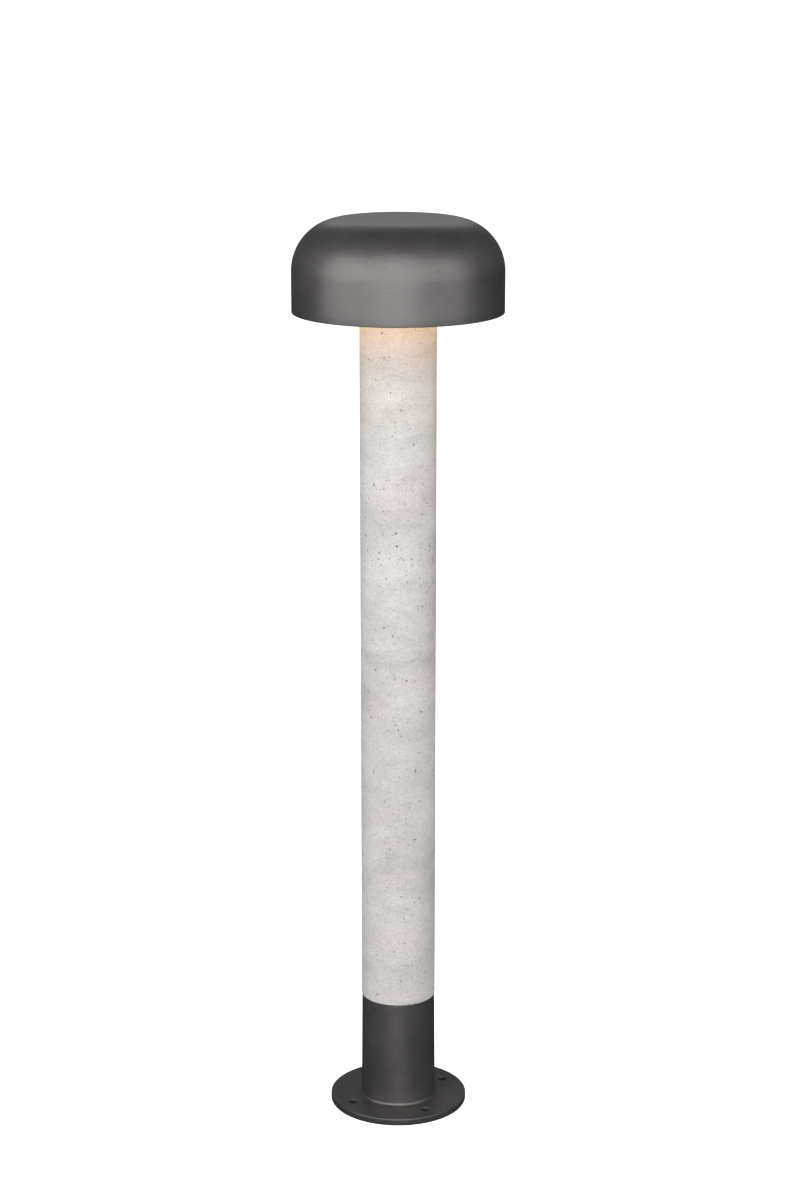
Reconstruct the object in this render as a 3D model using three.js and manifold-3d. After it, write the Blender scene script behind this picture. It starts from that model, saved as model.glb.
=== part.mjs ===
// A garden bollard lantern: a domed metal cap that throws its light down a round concrete column,
// on a cast base that bolts to the ground.
//
// From the ground up:
//   base    a cast flange and tube, with the mains connector hanging inside it
//   column  a hollow concrete column, clamped by a steel core tube and two locknuts
//   head    a cast ring with the light engine facing down, and the driver and terminals on top
//   cap     the dome, which lifts off when its three captive screws are undone
//
// Millimetres, +Z up, origin on the ground at the middle of the flange.

import * as THREE from "three";
import { mergeVertices } from "three/addons/utils/BufferGeometryUtils.js";
import Module from "manifold-3d";

const wasm = await Module();
wasm.setup();

// ---------------------------------------------------------------- driving dimensions

const HEIGHT = 850;
const CAP_R = 96;
const CAP_DEPTH = 85;
const CAP_CORNER_R = 47;
const CAP_WALL = 3;
const COLUMN_R = 35;
const COLUMN_BORE_R = 21;
const COLUMN_FOOT_Z = 109;
const COLUMN_TOP_Z = 800;
const FLANGE_R = 65;
const FLANGE_T = 6;
const ANCHOR_CIRCLE_R = 50;
const ANCHOR_HOLE_R = 4;
const ANCHORS = 4;
const ANCHOR_START_DEG = 31;
const CORE_R = 13.45;
const CORE_WALL = 2.3;
const LEAD_R = 2.5;

const GAP = 0.3; // left between pieces that fit into each other
const SNUG = 0.2; // left between flat faces that rest on each other

// How many sides a round piece has, by size.
const LARGE = 48;
const INNER = 36;
const MIDDLE = 24;
const SMALL = 12;
const TINY = 8;

// Heights worked out from those above.
const GASKET_T = 1.4;
const WEB_T = 8; // floor between the base's cavity and the column
const BASE_TOP_Z = COLUMN_FOOT_Z - GAP;
const WEB_UNDER_Z = BASE_TOP_Z - WEB_T;
const SEAT_Z = COLUMN_TOP_Z + GASKET_T + 2 * SNUG; // underside of the head casting's plate
const PLATE_T = 5;
const RIM_Z = HEIGHT - CAP_DEPTH;

// ---------------------------------------------------------------- materials

function finish(colour, roughness, metalness) {
  return new THREE.MeshStandardMaterial({ color: colour, roughness, metalness });
}

const graphite = finish("#4b4a49", 0.55, 0.2); // powder coat
const concrete = finish("#cdc8c5", 0.9, 0);
const bareCasting = finish("#a9abac", 0.45, 0.9);
const zincSteel = finish("#b4b6b8", 0.35, 1);
const stainless = finish("#c2c2c0", 0.3, 1);
const blackRubber = finish("#1d1d1e", 0.85, 0);
const clearSilicone = finish("#d9d6cf", 0.6, 0);
const opalAcrylic = finish("#f4efe6", 0.35, 0);
const whitePlastic = finish("#f1f1ee", 0.5, 0);
const blackPlastic = finish("#232426", 0.5, 0);
const whiteBoard = finish("#eceee9", 0.4, 0);
const phosphor = finish("#f2d27a", 0.4, 0);

// ---------------------------------------------------------------- helpers: shapes

const radians = THREE.MathUtils.degToRad;

// A [radius, height] outline turned about +Z. It runs anticlockwise, with the axis on its left,
// and closes on itself where it doesn't start on the axis.
function turned(outline, sides = LARGE) {
  const points = outline.map(([r, z]) => new THREE.Vector2(r, z));
  const startsOnAxis = outline[0][0] === 0;
  if (!startsOnAxis) points.push(points[0].clone());
  return new THREE.LatheGeometry(points, sides).rotateX(Math.PI / 2);
}

// A ring of rectangular section.
function ring(innerR, outerR, bottom, top, sides = LARGE) {
  return turned([[innerR, bottom], [outerR, bottom], [outerR, top], [innerR, top]], sides);
}

// A round bar along +Z from one height to another.
function bar(radius, bottom, top, x = 0, y = 0, sides = SMALL) {
  const geometry = new THREE.CylinderGeometry(radius, radius, top - bottom, sides);
  return geometry.rotateX(Math.PI / 2).translate(x, y, (bottom + top) / 2);
}

function block(width, depth, height, x, y, bottom) {
  return new THREE.BoxGeometry(width, depth, height).translate(x, y, bottom + height / 2);
}

// A flat outline raised from one height to another.
function raised(shape, bottom, top, curveSegments = 4) {
  const settings = { depth: top - bottom, bevelEnabled: false, curveSegments };
  return new THREE.ExtrudeGeometry(shape, settings).translate(0, 0, bottom);
}

// A round section swept along a curve.
function swept(curve, radius, steps, sides = TINY) {
  const section = new THREE.Shape().absarc(0, 0, radius, 0, 2 * Math.PI, false);
  const settings = { extrudePath: curve, steps, curveSegments: sides / 2, bevelEnabled: false };
  return new THREE.ExtrudeGeometry(section, settings);
}

// A box with rounded upright edges.
function roundedBox(width, depth, corner, bottom, top) {
  const x = width / 2 - corner;
  const y = depth / 2 - corner;
  const shape = new THREE.Shape();
  shape.absarc(x, y, corner, 0, Math.PI / 2, false);
  shape.absarc(-x, y, corner, Math.PI / 2, Math.PI, false);
  shape.absarc(-x, -y, corner, Math.PI, 1.5 * Math.PI, false);
  shape.absarc(x, -y, corner, 1.5 * Math.PI, 2 * Math.PI, false);
  return raised(shape, bottom, top, 3);
}

// Points on a circular arc in the [radius, height] plane, with both ends.
function arc(centreR, centreZ, radius, fromDeg, toDeg, steps) {
  return Array.from({ length: steps + 1 }, (_, i) => {
    const angle = radians(fromDeg + ((toDeg - fromDeg) * i) / steps);
    return [centreR + radius * Math.cos(angle), centreZ + radius * Math.sin(angle)];
  });
}

// A quarter turn from one point to another, as a Bezier curve that rounds off the corner between them.
function quarter(from, corner, to) {
  const reach = 0.5523; // gives a circle's quarter
  const leave = from.clone().lerp(corner, reach);
  const arrive = to.clone().lerp(corner, reach);
  return new THREE.CubicBezierCurve3(from, leave, arrive, to);
}

// [x, y] at a radius and an angle about the axis.
function polar(radius, degrees) {
  return [radius * Math.cos(radians(degrees)), radius * Math.sin(radians(degrees))];
}

// Angles of a number of things spaced evenly about the axis.
function spaced(count, startDeg = 0) {
  return Array.from({ length: count }, (_, i) => startDeg + (360 / count) * i);
}

// Bars for cutting holes along +Z, one at each angle on a circle.
function holesOn(circleR, angles, radius, bottom, top, sides = TINY) {
  return angles.map((angle) => bar(radius, bottom, top, ...polar(circleR, angle), sides));
}

// ---------------------------------------------------------------- helpers: solids and the scene

function solid(geometry) {
  const bare = geometry.clone();
  bare.deleteAttribute("normal");
  bare.deleteAttribute("uv");
  const merged = mergeVertices(bare, 1e-4);
  const vertProperties = merged.attributes.position.array;
  const triVerts = new Uint32Array(merged.index.array);
  return new wasm.Manifold(new wasm.Mesh({ numProp: 3, vertProperties, triVerts }));
}

function geometryOf(manifold) {
  const mesh = manifold.getMesh();
  const geometry = new THREE.BufferGeometry();
  geometry.setAttribute("position", new THREE.BufferAttribute(mesh.vertProperties, 3));
  geometry.setIndex(new THREE.BufferAttribute(mesh.triVerts, 1));
  geometry.computeVertexNormals();
  return geometry;
}

// Joins some geometries to a body, then cuts others from it.
function carve(body, { add = [], cut = [] }) {
  const joined = add.reduce((made, piece) => made.add(solid(piece)), solid(body));
  return geometryOf(cut.reduce((made, piece) => made.subtract(solid(piece)), joined));
}

function place(group, name, geometry, material, [x, y, z] = [0, 0, 0]) {
  const mesh = new THREE.Mesh(geometry, material);
  mesh.name = name;
  mesh.position.set(x, y, z);
  group.add(mesh);
  return mesh;
}

function groupAt(z) {
  const group = new THREE.Group();
  group.position.z = z;
  return group;
}

// ---------------------------------------------------------------- fasteners and bushes

const M3_R = 1.5;
const M4_R = 2;
const M3_HOLE_R = M3_R + GAP;
const M4_HOLE_R = M4_R + GAP;
const M3_HEAD_R = 2.6;
const M3_HEAD_H = 2;

// A screw that points up, with the underside of its head at height 0.
function screwUp(shankR, headR, headH, length, sides = TINY) {
  return turned([
    [0, -headH], [headR * 0.75, -headH], [headR, -headH * 0.7], [headR, 0],
    [shankR, 0], [shankR, length], [0, length],
  ], sides);
}

// The same screw, pointing down.
function screwDown(shankR, headR, headH, length) {
  return screwUp(shankR, headR, headH, length).rotateX(Math.PI);
}

const CORE_HOLE_R = CORE_R + 0.35;
const LOCKNUT_FLATS = 34;
const LOCKNUT_H = 7;
const WASHER_R = 19;
const WASHER_T = 2;

function locknut() {
  const cornerR = LOCKNUT_FLATS / Math.sqrt(3);
  const corners = spaced(6).map((angle) => new THREE.Vector2(...polar(cornerR, angle)));
  const hexagon = new THREE.Shape(corners);
  hexagon.holes.push(new THREE.Path().absarc(0, 0, CORE_R + GAP, 0, 2 * Math.PI, true));
  return raised(hexagon, 0, LOCKNUT_H, SMALL);
}

function washer() {
  return ring(CORE_R + GAP, WASHER_R, 0, WASHER_T, MIDDLE);
}

// A rubber bush for the core tube's mouth. Its lip stands on the mouth, from height 0 to 2.
function coreBush() {
  const holeR = LEAD_R + GAP;
  const bodyR = CORE_R - CORE_WALL - GAP;
  return turned([
    [holeR, -9], [bodyR - 1, -9], [bodyR, -7], [bodyR, 0],
    [CORE_R, 0], [CORE_R, 1.4], [CORE_R - 0.8, 2], [holeR, 2],
  ], MIDDLE);
}

// ---------------------------------------------------------------- base

const TUBE_TOP_R = 34.6;
const TUBE_FOOT_R = 35.4;
const TUBE_WALL = 4;
const FILLET_R = 3;
const CAVITY_R = TUBE_TOP_R - TUBE_WALL;
const SPIGOT_R = COLUMN_BORE_R - 0.4; // centres the column
const SPIGOT_H = 18;
const FOOT_GASKET_R = 33;
const CLIP_SCREW_X = -27.2;
const EARTH_SCREW_X = 24.4;

function baseCasting() {
  const gasketFloor = BASE_TOP_Z - GASKET_T;
  const spigotTop = BASE_TOP_Z + SPIGOT_H;
  const outline = [
    [CAVITY_R + 0.4, 0], [FLANGE_R - 0.6, 0], [FLANGE_R, 0.6],
    ...arc(FLANGE_R - 1, FLANGE_T - 1, 1, 0, 90, 2),
    ...arc(TUBE_FOOT_R + FILLET_R, FLANGE_T + FILLET_R, FILLET_R, 270, 180, 3),
    [TUBE_TOP_R, BASE_TOP_Z - 0.4], [TUBE_TOP_R - 0.4, BASE_TOP_Z],
    [FOOT_GASKET_R, BASE_TOP_Z], [FOOT_GASKET_R, gasketFloor], [SPIGOT_R, gasketFloor],
    [SPIGOT_R, spigotTop - 1.5], [SPIGOT_R - 1.5, spigotTop],
    [CORE_HOLE_R, spigotTop], [CORE_HOLE_R, WEB_UNDER_Z], [CAVITY_R, WEB_UNDER_Z],
  ];
  const anchorAngles = spaced(ANCHORS, ANCHOR_START_DEG);
  const anchorHoles = holesOn(ANCHOR_CIRCLE_R, anchorAngles, ANCHOR_HOLE_R, -1, FLANGE_T + 1, MIDDLE);
  const screwHoles = [CLIP_SCREW_X, EARTH_SCREW_X].map((x) =>
    bar(M3_HOLE_R, WEB_UNDER_Z - 1, WEB_UNDER_Z + 7, x, 0, TINY));
  return carve(turned(outline), { cut: [...anchorHoles, ...screwHoles] });
}

const CONNECTOR_X = -8;
const CONNECTOR_R = 11.5;
const CONNECTOR_NECK_R = 7.5;
const CONNECTOR_FOOT_Z = 18;
const CONNECTOR_TOP_Z = 62;
const GLAND_FOOT_Z = 5;
const GLAND_R = 10.4;
const GLAND_HOLE_R = 4;
const CLIP_Z = 36;
const CLIP_H = 9;
const CLIP_W = 8;
const CLIP_T = 1.6;

// A sealed inline connector. The lantern's own lead goes in at the top, the ground cable at the bottom.
function connectorBody() {
  const foot = CONNECTOR_FOOT_Z;
  const top = CONNECTOR_TOP_Z;
  return turned([
    [0, foot], [CONNECTOR_NECK_R, foot], [CONNECTOR_NECK_R, foot + 6], [CONNECTOR_R, foot + 7],
    [CONNECTOR_R, top - 12], [9, top - 10], [9, top - 3], [5, top], [0, top],
  ], MIDDLE);
}

// The gland nut round the connector's lower neck, open below for the ground cable.
function glandNut() {
  const top = CONNECTOR_FOOT_Z + 5.5;
  const socketR = CONNECTOR_NECK_R + GAP;
  const socketFloor = CONNECTOR_FOOT_Z - GAP;
  return turned([
    [GLAND_HOLE_R, GLAND_FOOT_Z], [GLAND_R - 2.4, GLAND_FOOT_Z], [GLAND_R, GLAND_FOOT_Z + 3],
    [GLAND_R, top], [socketR, top], [socketR, socketFloor], [GLAND_HOLE_R, socketFloor],
  ], SMALL);
}

// A strap that hangs from the web and holds the connector, with its foot turned outwards under a screw.
function connectorClip() {
  const innerR = CONNECTOR_R + GAP;
  const outerR = innerR + 1.8;
  const strapX = CONNECTOR_X - outerR;
  const footX = CLIP_SCREW_X - 2.8;
  const footW = strapX + CLIP_T / 2 - footX;
  const top = WEB_UNDER_Z - SNUG;
  const hoop = ring(innerR, outerR, CLIP_Z, CLIP_Z + CLIP_H, MIDDLE).translate(CONNECTOR_X, 0, 0);
  const strap = block(CLIP_T, CLIP_W, top - CLIP_Z, strapX, 0, CLIP_Z);
  const foot = block(footW, CLIP_W, CLIP_T, footX + footW / 2, 0, top - CLIP_T);
  const hole = bar(M3_HOLE_R, top - 3, top + 1, CLIP_SCREW_X, 0, TINY);
  return carve(hoop, { add: [strap, foot], cut: [hole] });
}

function base() {
  const group = groupAt(0);
  const washerZ = WEB_UNDER_Z - SNUG - WASHER_T;
  const clipScrewZ = WEB_UNDER_Z - 2 * SNUG - CLIP_T;
  const gasket = ring(SPIGOT_R + GAP, FOOT_GASKET_R - GAP, SNUG, GASKET_T + SNUG, MIDDLE);
  place(group, "base_casting", baseCasting(), graphite);
  place(group, "foot_gasket", gasket, blackRubber, [0, 0, BASE_TOP_Z - GASKET_T]);
  place(group, "lower_washer", washer(), zincSteel, [0, 0, washerZ]);
  place(group, "lower_locknut", locknut(), zincSteel, [0, 0, washerZ - SNUG - LOCKNUT_H]);
  place(group, "connector_body", connectorBody(), blackPlastic, [CONNECTOR_X, 0, 0]);
  place(group, "connector_gland_nut", glandNut(), blackPlastic, [CONNECTOR_X, 0, 0]);
  place(group, "connector_clip", connectorClip(), stainless);
  place(group, "clip_screw", screwUp(M3_R, 2.4, 1.8, 6), stainless, [CLIP_SCREW_X, 0, clipScrewZ]);
  place(group, "earth_screw", screwUp(M3_R, 2.8, 2, 4.5), stainless, [EARTH_SCREW_X, 0, WEB_UNDER_Z - SNUG]);
  return group;
}

// ---------------------------------------------------------------- column

const CORE_FOOT_Z = 88;
const CORE_TOP_Z = SEAT_Z + PLATE_T + 2 * SNUG + WASHER_T + LOCKNUT_H + 2;
const ARCH_R = 15; // the lead's bend over the head
const TERMINAL_TOP = PLATE_T + SNUG + 15; // above the seat

function concreteColumn() {
  const height = COLUMN_TOP_Z - COLUMN_FOOT_Z;
  const edge = 0.8;
  return turned([
    [COLUMN_BORE_R, 0], [COLUMN_R - edge, 0], [COLUMN_R, edge],
    [COLUMN_R, height - edge], [COLUMN_R - edge, height], [COLUMN_BORE_R, height],
  ]);
}

// The lead from the connector, up through the core tube and over into the terminal block.
function supplyLead() {
  const at = (x, z) => new THREE.Vector3(x, 0, z);
  const foot = CONNECTOR_TOP_Z + SNUG;
  const straightZ = 84; // where it is on the axis, just under the core tube
  const bendZ = CORE_TOP_Z + 4;
  const archZ = bendZ + ARCH_R;
  const end = SEAT_Z + TERMINAL_TOP + SNUG;
  const path = new THREE.CurvePath();
  path.add(new THREE.CubicBezierCurve3(
    at(CONNECTOR_X, foot), at(CONNECTOR_X, foot + 9), at(0, straightZ - 9), at(0, straightZ)));
  path.add(new THREE.LineCurve3(at(0, straightZ), at(0, bendZ)));
  path.add(quarter(at(0, bendZ), at(0, archZ), at(-ARCH_R, archZ)));
  path.add(quarter(at(-ARCH_R, archZ), at(-2 * ARCH_R, archZ), at(-2 * ARCH_R, bendZ)));
  path.add(new THREE.LineCurve3(at(-2 * ARCH_R, bendZ), at(-2 * ARCH_R, end)));
  return swept(path, LEAD_R, 72);
}

function column() {
  const group = groupAt(COLUMN_FOOT_Z);
  const coreFoot = CORE_FOOT_Z - COLUMN_FOOT_Z;
  const coreTop = CORE_TOP_Z - COLUMN_FOOT_Z;
  const core = ring(CORE_R - CORE_WALL, CORE_R, coreFoot, coreTop, MIDDLE);
  place(group, "concrete_column", concreteColumn(), concrete);
  place(group, "core_tube", core, zincSteel);
  place(group, "lower_bush", coreBush().rotateX(Math.PI), blackRubber, [0, 0, coreFoot - SNUG]);
  place(group, "upper_bush", coreBush(), blackRubber, [0, 0, coreTop + SNUG]);
  place(group, "supply_lead", supplyLead(), blackRubber, [0, 0, -COLUMN_FOOT_Z]);
  return group;
}

// ---------------------------------------------------------------- head: the casting
// Heights in the head are measured from the plate's underside.

const SKIRT_IN_R = 76; // outer skirt
const SKIRT_OUT_R = 84;
const SKIRT_FOOT = -21.8;
const REBATE_R = 78.4; // step in the skirt that takes the diffuser
const REBATE_TOP = -16.8;
const HUB_SKIRT_IN_R = 37.5; // inner skirt, round the column
const HUB_SKIRT_OUT_R = 41;
const FINS = 12;
const FIN_IN_R = 65;
const FIN_OUT_R = 82;
const FIN_T = 2.4;
const FIN_H = 8;
const LUG_CIRCLE_R = 87.6;
const LUG_R = 4.4;
const BEZEL_SCREW_CIRCLE_R = 81.2;
const DRIVER_X = 40;
const DRIVER_SCREW_Y = 34;
const TERMINAL_X = -34.5;
const TERMINAL_SCREW_X = TERMINAL_X - 4;
const TERMINAL_SCREW_Y = 10;
const BOARD_LEAD_X = 30;
const BOARD_LEAD_Y = -47;
const BOARD_LEAD_HOLE_R = 3.4;
const LED_CIRCLE_R = 59;

const lugAngles = spaced(3, 30);
const bezelAngles = spaced(6);
const ledAngles = spaced(12);
const boardScrewAngles = spaced(3, 15);
const bothSides = [-1, 1];

function headCasting() {
  const outline = [
    [CORE_HOLE_R, REBATE_TOP], [SPIGOT_R, REBATE_TOP], [SPIGOT_R, 0],
    [HUB_SKIRT_IN_R, 0], [HUB_SKIRT_IN_R, REBATE_TOP], [HUB_SKIRT_OUT_R, REBATE_TOP], [HUB_SKIRT_OUT_R, 0],
    [SKIRT_IN_R, 0], [SKIRT_IN_R, REBATE_TOP], [REBATE_R, REBATE_TOP], [REBATE_R, SKIRT_FOOT],
    [SKIRT_OUT_R, SKIRT_FOOT], [SKIRT_OUT_R, PLATE_T], [CORE_HOLE_R, PLATE_T],
  ];
  const over = PLATE_T + 1;
  const fins = spaced(FINS, 15).map((angle) => {
    const middle = (FIN_IN_R + FIN_OUT_R) / 2;
    const fin = block(FIN_OUT_R - FIN_IN_R, FIN_T, FIN_H + 1, middle, 0, PLATE_T - 1);
    return fin.rotateZ(radians(angle));
  });
  const lugs = lugAngles.map((angle) => bar(LUG_R, 0, PLATE_T, ...polar(LUG_CIRCLE_R, angle)));
  const holes = [
    ...holesOn(LUG_CIRCLE_R, lugAngles, M4_HOLE_R, -1, over, SMALL),
    ...holesOn(BEZEL_SCREW_CIRCLE_R, bezelAngles, M3_HOLE_R, SKIRT_FOOT - 1, SKIRT_FOOT + 8),
    ...holesOn(LED_CIRCLE_R, boardScrewAngles, M3_HOLE_R, -1, PLATE_T - 1),
    ...bothSides.map((side) => bar(M3_HOLE_R, 1, over, DRIVER_X, side * DRIVER_SCREW_Y, TINY)),
    ...bothSides.map((side) => bar(M3_HOLE_R, 1, over, TERMINAL_SCREW_X, side * TERMINAL_SCREW_Y, TINY)),
    bar(BOARD_LEAD_HOLE_R, -1, over, BOARD_LEAD_X, BOARD_LEAD_Y),
  ];
  return carve(turned(outline), { add: [...lugs, ...fins], cut: holes });
}

// ---------------------------------------------------------------- head: the light engine, under the plate

const BOARD_IN_R = 44;
const BOARD_OUT_R = 74;
const BOARD_TOP = -GAP;
const BOARD_UNDER = BOARD_TOP - 1.6;
const LED_W = 5;
const LED_H = 0.9;
const REFLECTOR_T = 1;
const REFLECTOR_FOOT = -16;
const SEAL_T = 1.4;
const SEAL_UNDER = REBATE_TOP - SNUG - SEAL_T;
const DIFFUSER_T = 3;
const DIFFUSER_IN_R = 38;
const DIFFUSER_OUT_R = REBATE_R - GAP;
const DIFFUSER_TOP = SEAL_UNDER - SNUG;
const BEZEL_IN_R = 71;
const BEZEL_T = 2.8;
const BEZEL_TOP = SKIRT_FOOT - SNUG;
const BEZEL_UNDER = BEZEL_TOP - BEZEL_T;

function ledBoard() {
  const disc = ring(BOARD_IN_R, BOARD_OUT_R, BOARD_UNDER, BOARD_TOP, INNER);
  return carve(disc, { cut: holesOn(LED_CIRCLE_R, boardScrewAngles, M3_HOLE_R, BOARD_UNDER - 1, 1) });
}

// A thin white cone from the diffuser up to the board.
function reflector(footR, topR) {
  const top = BOARD_UNDER - GAP;
  return turned([
    [footR, REFLECTOR_FOOT], [footR + REFLECTOR_T, REFLECTOR_FOOT],
    [topR + REFLECTOR_T, top], [topR, top],
  ], INNER);
}

// A flat rubber ring between the casting and the diffuser.
function seal(innerR, outerR) {
  return ring(innerR, outerR, SEAL_UNDER, SEAL_UNDER + SEAL_T, INNER);
}

function bezel() {
  const edge = 0.8;
  const outline = [
    [BEZEL_IN_R + edge, BEZEL_UNDER], [SKIRT_OUT_R - edge, BEZEL_UNDER], [SKIRT_OUT_R, BEZEL_UNDER + edge],
    [SKIRT_OUT_R, BEZEL_TOP], [BEZEL_IN_R, BEZEL_TOP], [BEZEL_IN_R, BEZEL_UNDER + edge],
  ];
  const holes = holesOn(BEZEL_SCREW_CIRCLE_R, bezelAngles, M3_HOLE_R, BEZEL_UNDER - 1, BEZEL_TOP + 1);
  return carve(turned(outline), { cut: holes });
}

function lightEngine(group) {
  const diffuser = ring(DIFFUSER_IN_R, DIFFUSER_OUT_R, DIFFUSER_TOP - DIFFUSER_T, DIFFUSER_TOP);
  place(group, "led_board", ledBoard(), whiteBoard);
  ledAngles.forEach((angle, i) => {
    const chip = block(LED_W, LED_W, LED_H, 0, 0, -LED_H).rotateZ(radians(angle));
    place(group, `led_${i + 1}`, chip, phosphor, [...polar(LED_CIRCLE_R, angle), BOARD_UNDER - SNUG]);
  });
  boardScrewAngles.forEach((angle, i) => {
    const screw = screwUp(M3_R, M3_HEAD_R, 1.8, 5);
    const position = [...polar(LED_CIRCLE_R, angle), BOARD_UNDER - SNUG];
    place(group, `board_screw_${i + 1}`, screw, stainless, position);
  });
  place(group, "outer_reflector", reflector(SKIRT_IN_R - 1.6, SKIRT_IN_R - 7.5), whitePlastic);
  place(group, "inner_reflector", reflector(HUB_SKIRT_OUT_R + 0.5, HUB_SKIRT_OUT_R + 5.5), whitePlastic);
  place(group, "outer_seal", seal(SKIRT_IN_R + GAP, DIFFUSER_OUT_R), clearSilicone);
  place(group, "inner_seal", seal(DIFFUSER_IN_R, HUB_SKIRT_OUT_R - GAP), clearSilicone);
  place(group, "diffuser", diffuser, opalAcrylic);
  place(group, "bezel", bezel(), graphite);
  bezelAngles.forEach((angle, i) => {
    const screw = screwUp(M3_R, M3_HEAD_R, M3_HEAD_H, 9);
    const position = [...polar(BEZEL_SCREW_CIRCLE_R, angle), BEZEL_UNDER - SNUG];
    place(group, `bezel_screw_${i + 1}`, screw, stainless, position);
  });
}

// ---------------------------------------------------------------- head: the driver and terminals

const DRIVER_LENGTH = 60;
const DRIVER_WIDTH = 32;
const DRIVER_H = 20;
const EAR_T = 3; // the driver's fixing ears
const EAR_REACH = 8;
const TERMINAL_LENGTH = 28;
const TERMINAL_WIDTH = 18;
const TERMINAL_STEP_H = 9; // low side, where its own screws go
const THIN_LEAD_R = 1.5;
const THIN_LEAD_Z = 12;

function driver() {
  const body = roundedBox(DRIVER_WIDTH, DRIVER_LENGTH, 3, 0, DRIVER_H);
  const ears = roundedBox(12, DRIVER_LENGTH + 2 * EAR_REACH, 4, 0, EAR_T);
  const holes = bothSides.map((side) => bar(M3_HOLE_R, -1, EAR_T + 1, 0, side * DRIVER_SCREW_Y, TINY));
  return carve(body, { add: [ears], cut: holes });
}

function terminalBlock() {
  const height = TERMINAL_TOP - PLATE_T - SNUG;
  const stepX = 3.5 - TERMINAL_WIDTH / 2;
  const step = block(8, TERMINAL_LENGTH + 1, height, stepX, 0, TERMINAL_STEP_H);
  const screwX = TERMINAL_SCREW_X - TERMINAL_X;
  const holes = bothSides.map((side) =>
    bar(M3_HOLE_R, -1, TERMINAL_STEP_H + 1, screwX, side * TERMINAL_SCREW_Y, TINY));
  return carve(roundedBox(TERMINAL_WIDTH, TERMINAL_LENGTH, 1.5, 0, height), { cut: [step, ...holes] });
}

// The thin lead from the terminals round the locknut to the driver.
function driverLead() {
  const route = [
    [-33, 14.4], [-33, 21], [-27, 28], [-14, 32], [2, 31], [12, 25], [17, 19.6], [20, 18], [23.6, 18],
  ];
  const points = route.map(([x, y]) => new THREE.Vector3(x, y, THIN_LEAD_Z));
  return swept(new THREE.CatmullRomCurve3(points), THIN_LEAD_R, 20);
}

// The thin lead from the driver down through the plate to the board.
function boardLead() {
  const bend = 5;
  const at = (y, z) => new THREE.Vector3(BOARD_LEAD_X, y, z);
  const start = at(-DRIVER_LENGTH / 2 - SNUG, THIN_LEAD_Z);
  const beforeBend = at(BOARD_LEAD_Y + bend, THIN_LEAD_Z);
  const afterBend = at(BOARD_LEAD_Y, THIN_LEAD_Z - bend);
  const path = new THREE.CurvePath();
  path.add(new THREE.LineCurve3(start, beforeBend));
  path.add(quarter(beforeBend, at(BOARD_LEAD_Y, THIN_LEAD_Z), afterBend));
  path.add(new THREE.LineCurve3(afterBend, at(BOARD_LEAD_Y, 0.4)));
  return swept(path, THIN_LEAD_R, 20);
}

// A rubber bush where that lead goes through the plate.
function boardBush() {
  const holeR = THIN_LEAD_R + GAP;
  const bodyR = BOARD_LEAD_HOLE_R - GAP;
  const lipUnder = PLATE_T + SNUG;
  return turned([
    [holeR, 0.4], [bodyR, 0.4], [bodyR, lipUnder], [4.8, lipUnder],
    [4.8, lipUnder + 1.2], [4.2, lipUnder + 1.6], [holeR, lipUnder + 1.6],
  ], SMALL);
}

function gear(group) {
  const seat = PLATE_T + SNUG;
  place(group, "upper_washer", washer(), zincSteel, [0, 0, seat]);
  place(group, "upper_locknut", locknut(), zincSteel, [0, 0, seat + WASHER_T + SNUG]);
  place(group, "driver", driver(), blackPlastic, [DRIVER_X, 0, seat]);
  place(group, "terminal_block", terminalBlock(), whitePlastic, [TERMINAL_X, 0, seat]);
  bothSides.forEach((side, i) => {
    const driverScrew = screwDown(M3_R, M3_HEAD_R, M3_HEAD_H, 6);
    const driverScrewAt = [DRIVER_X, side * DRIVER_SCREW_Y, seat + EAR_T + SNUG];
    place(group, `driver_screw_${i + 1}`, driverScrew, stainless, driverScrewAt);
    const terminalScrew = screwDown(M3_R, 2.4, M3_HEAD_H, 11);
    const terminalScrewAt = [TERMINAL_SCREW_X, side * TERMINAL_SCREW_Y, seat + TERMINAL_STEP_H + SNUG];
    place(group, `terminal_screw_${i + 1}`, terminalScrew, stainless, terminalScrewAt);
  });
  place(group, "driver_lead", driverLead(), blackRubber);
  place(group, "board_lead", boardLead(), blackRubber);
  place(group, "board_bush", boardBush(), blackRubber, [BOARD_LEAD_X, BOARD_LEAD_Y, 0]);
}

function head() {
  const group = groupAt(SEAT_Z);
  const gasket = ring(COLUMN_BORE_R + 1, COLUMN_R - 2, SNUG, GASKET_T + SNUG, MIDDLE);
  place(group, "head_gasket", gasket, blackRubber, [0, 0, COLUMN_TOP_Z - SEAT_Z]);
  place(group, "head_casting", headCasting(), bareCasting);
  lightEngine(group);
  gear(group);
  lugAngles.forEach((angle, i) => {
    const screw = screwUp(M4_R, 3.2, 3.4, 14, SMALL);
    place(group, `cap_screw_${i + 1}`, screw, stainless, [...polar(LUG_CIRCLE_R, angle), -SNUG]);
  });
  return group;
}

// ---------------------------------------------------------------- cap

const CROWN_SLOPE_DEG = 2.2; // where the corner meets the gently domed crown
const BOSS_R = 4.6;
const BOSS_H = 11;

// One face of the cap's wall, from the top of the straight side to the middle of the crown.
// The corner and the crown share a tangent.
function capFace(thickness, steps) {
  const centreR = CAP_R - CAP_CORNER_R;
  const slope = radians(CROWN_SLOPE_DEG);
  const crownR = (centreR + CAP_CORNER_R * Math.sin(slope)) / Math.sin(slope);
  const centreZ = CAP_DEPTH - crownR + (crownR - CAP_CORNER_R) * Math.cos(slope);
  const corner = arc(centreR, centreZ, CAP_CORNER_R - thickness, 0, 90 - CROWN_SLOPE_DEG, steps);
  const crown = arc(0, CAP_DEPTH - crownR, crownR - thickness, 90 - CROWN_SLOPE_DEG / 2, 90, 1);
  crown[1][0] = 0; // exactly on the axis
  return [...corner, ...crown];
}

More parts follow.
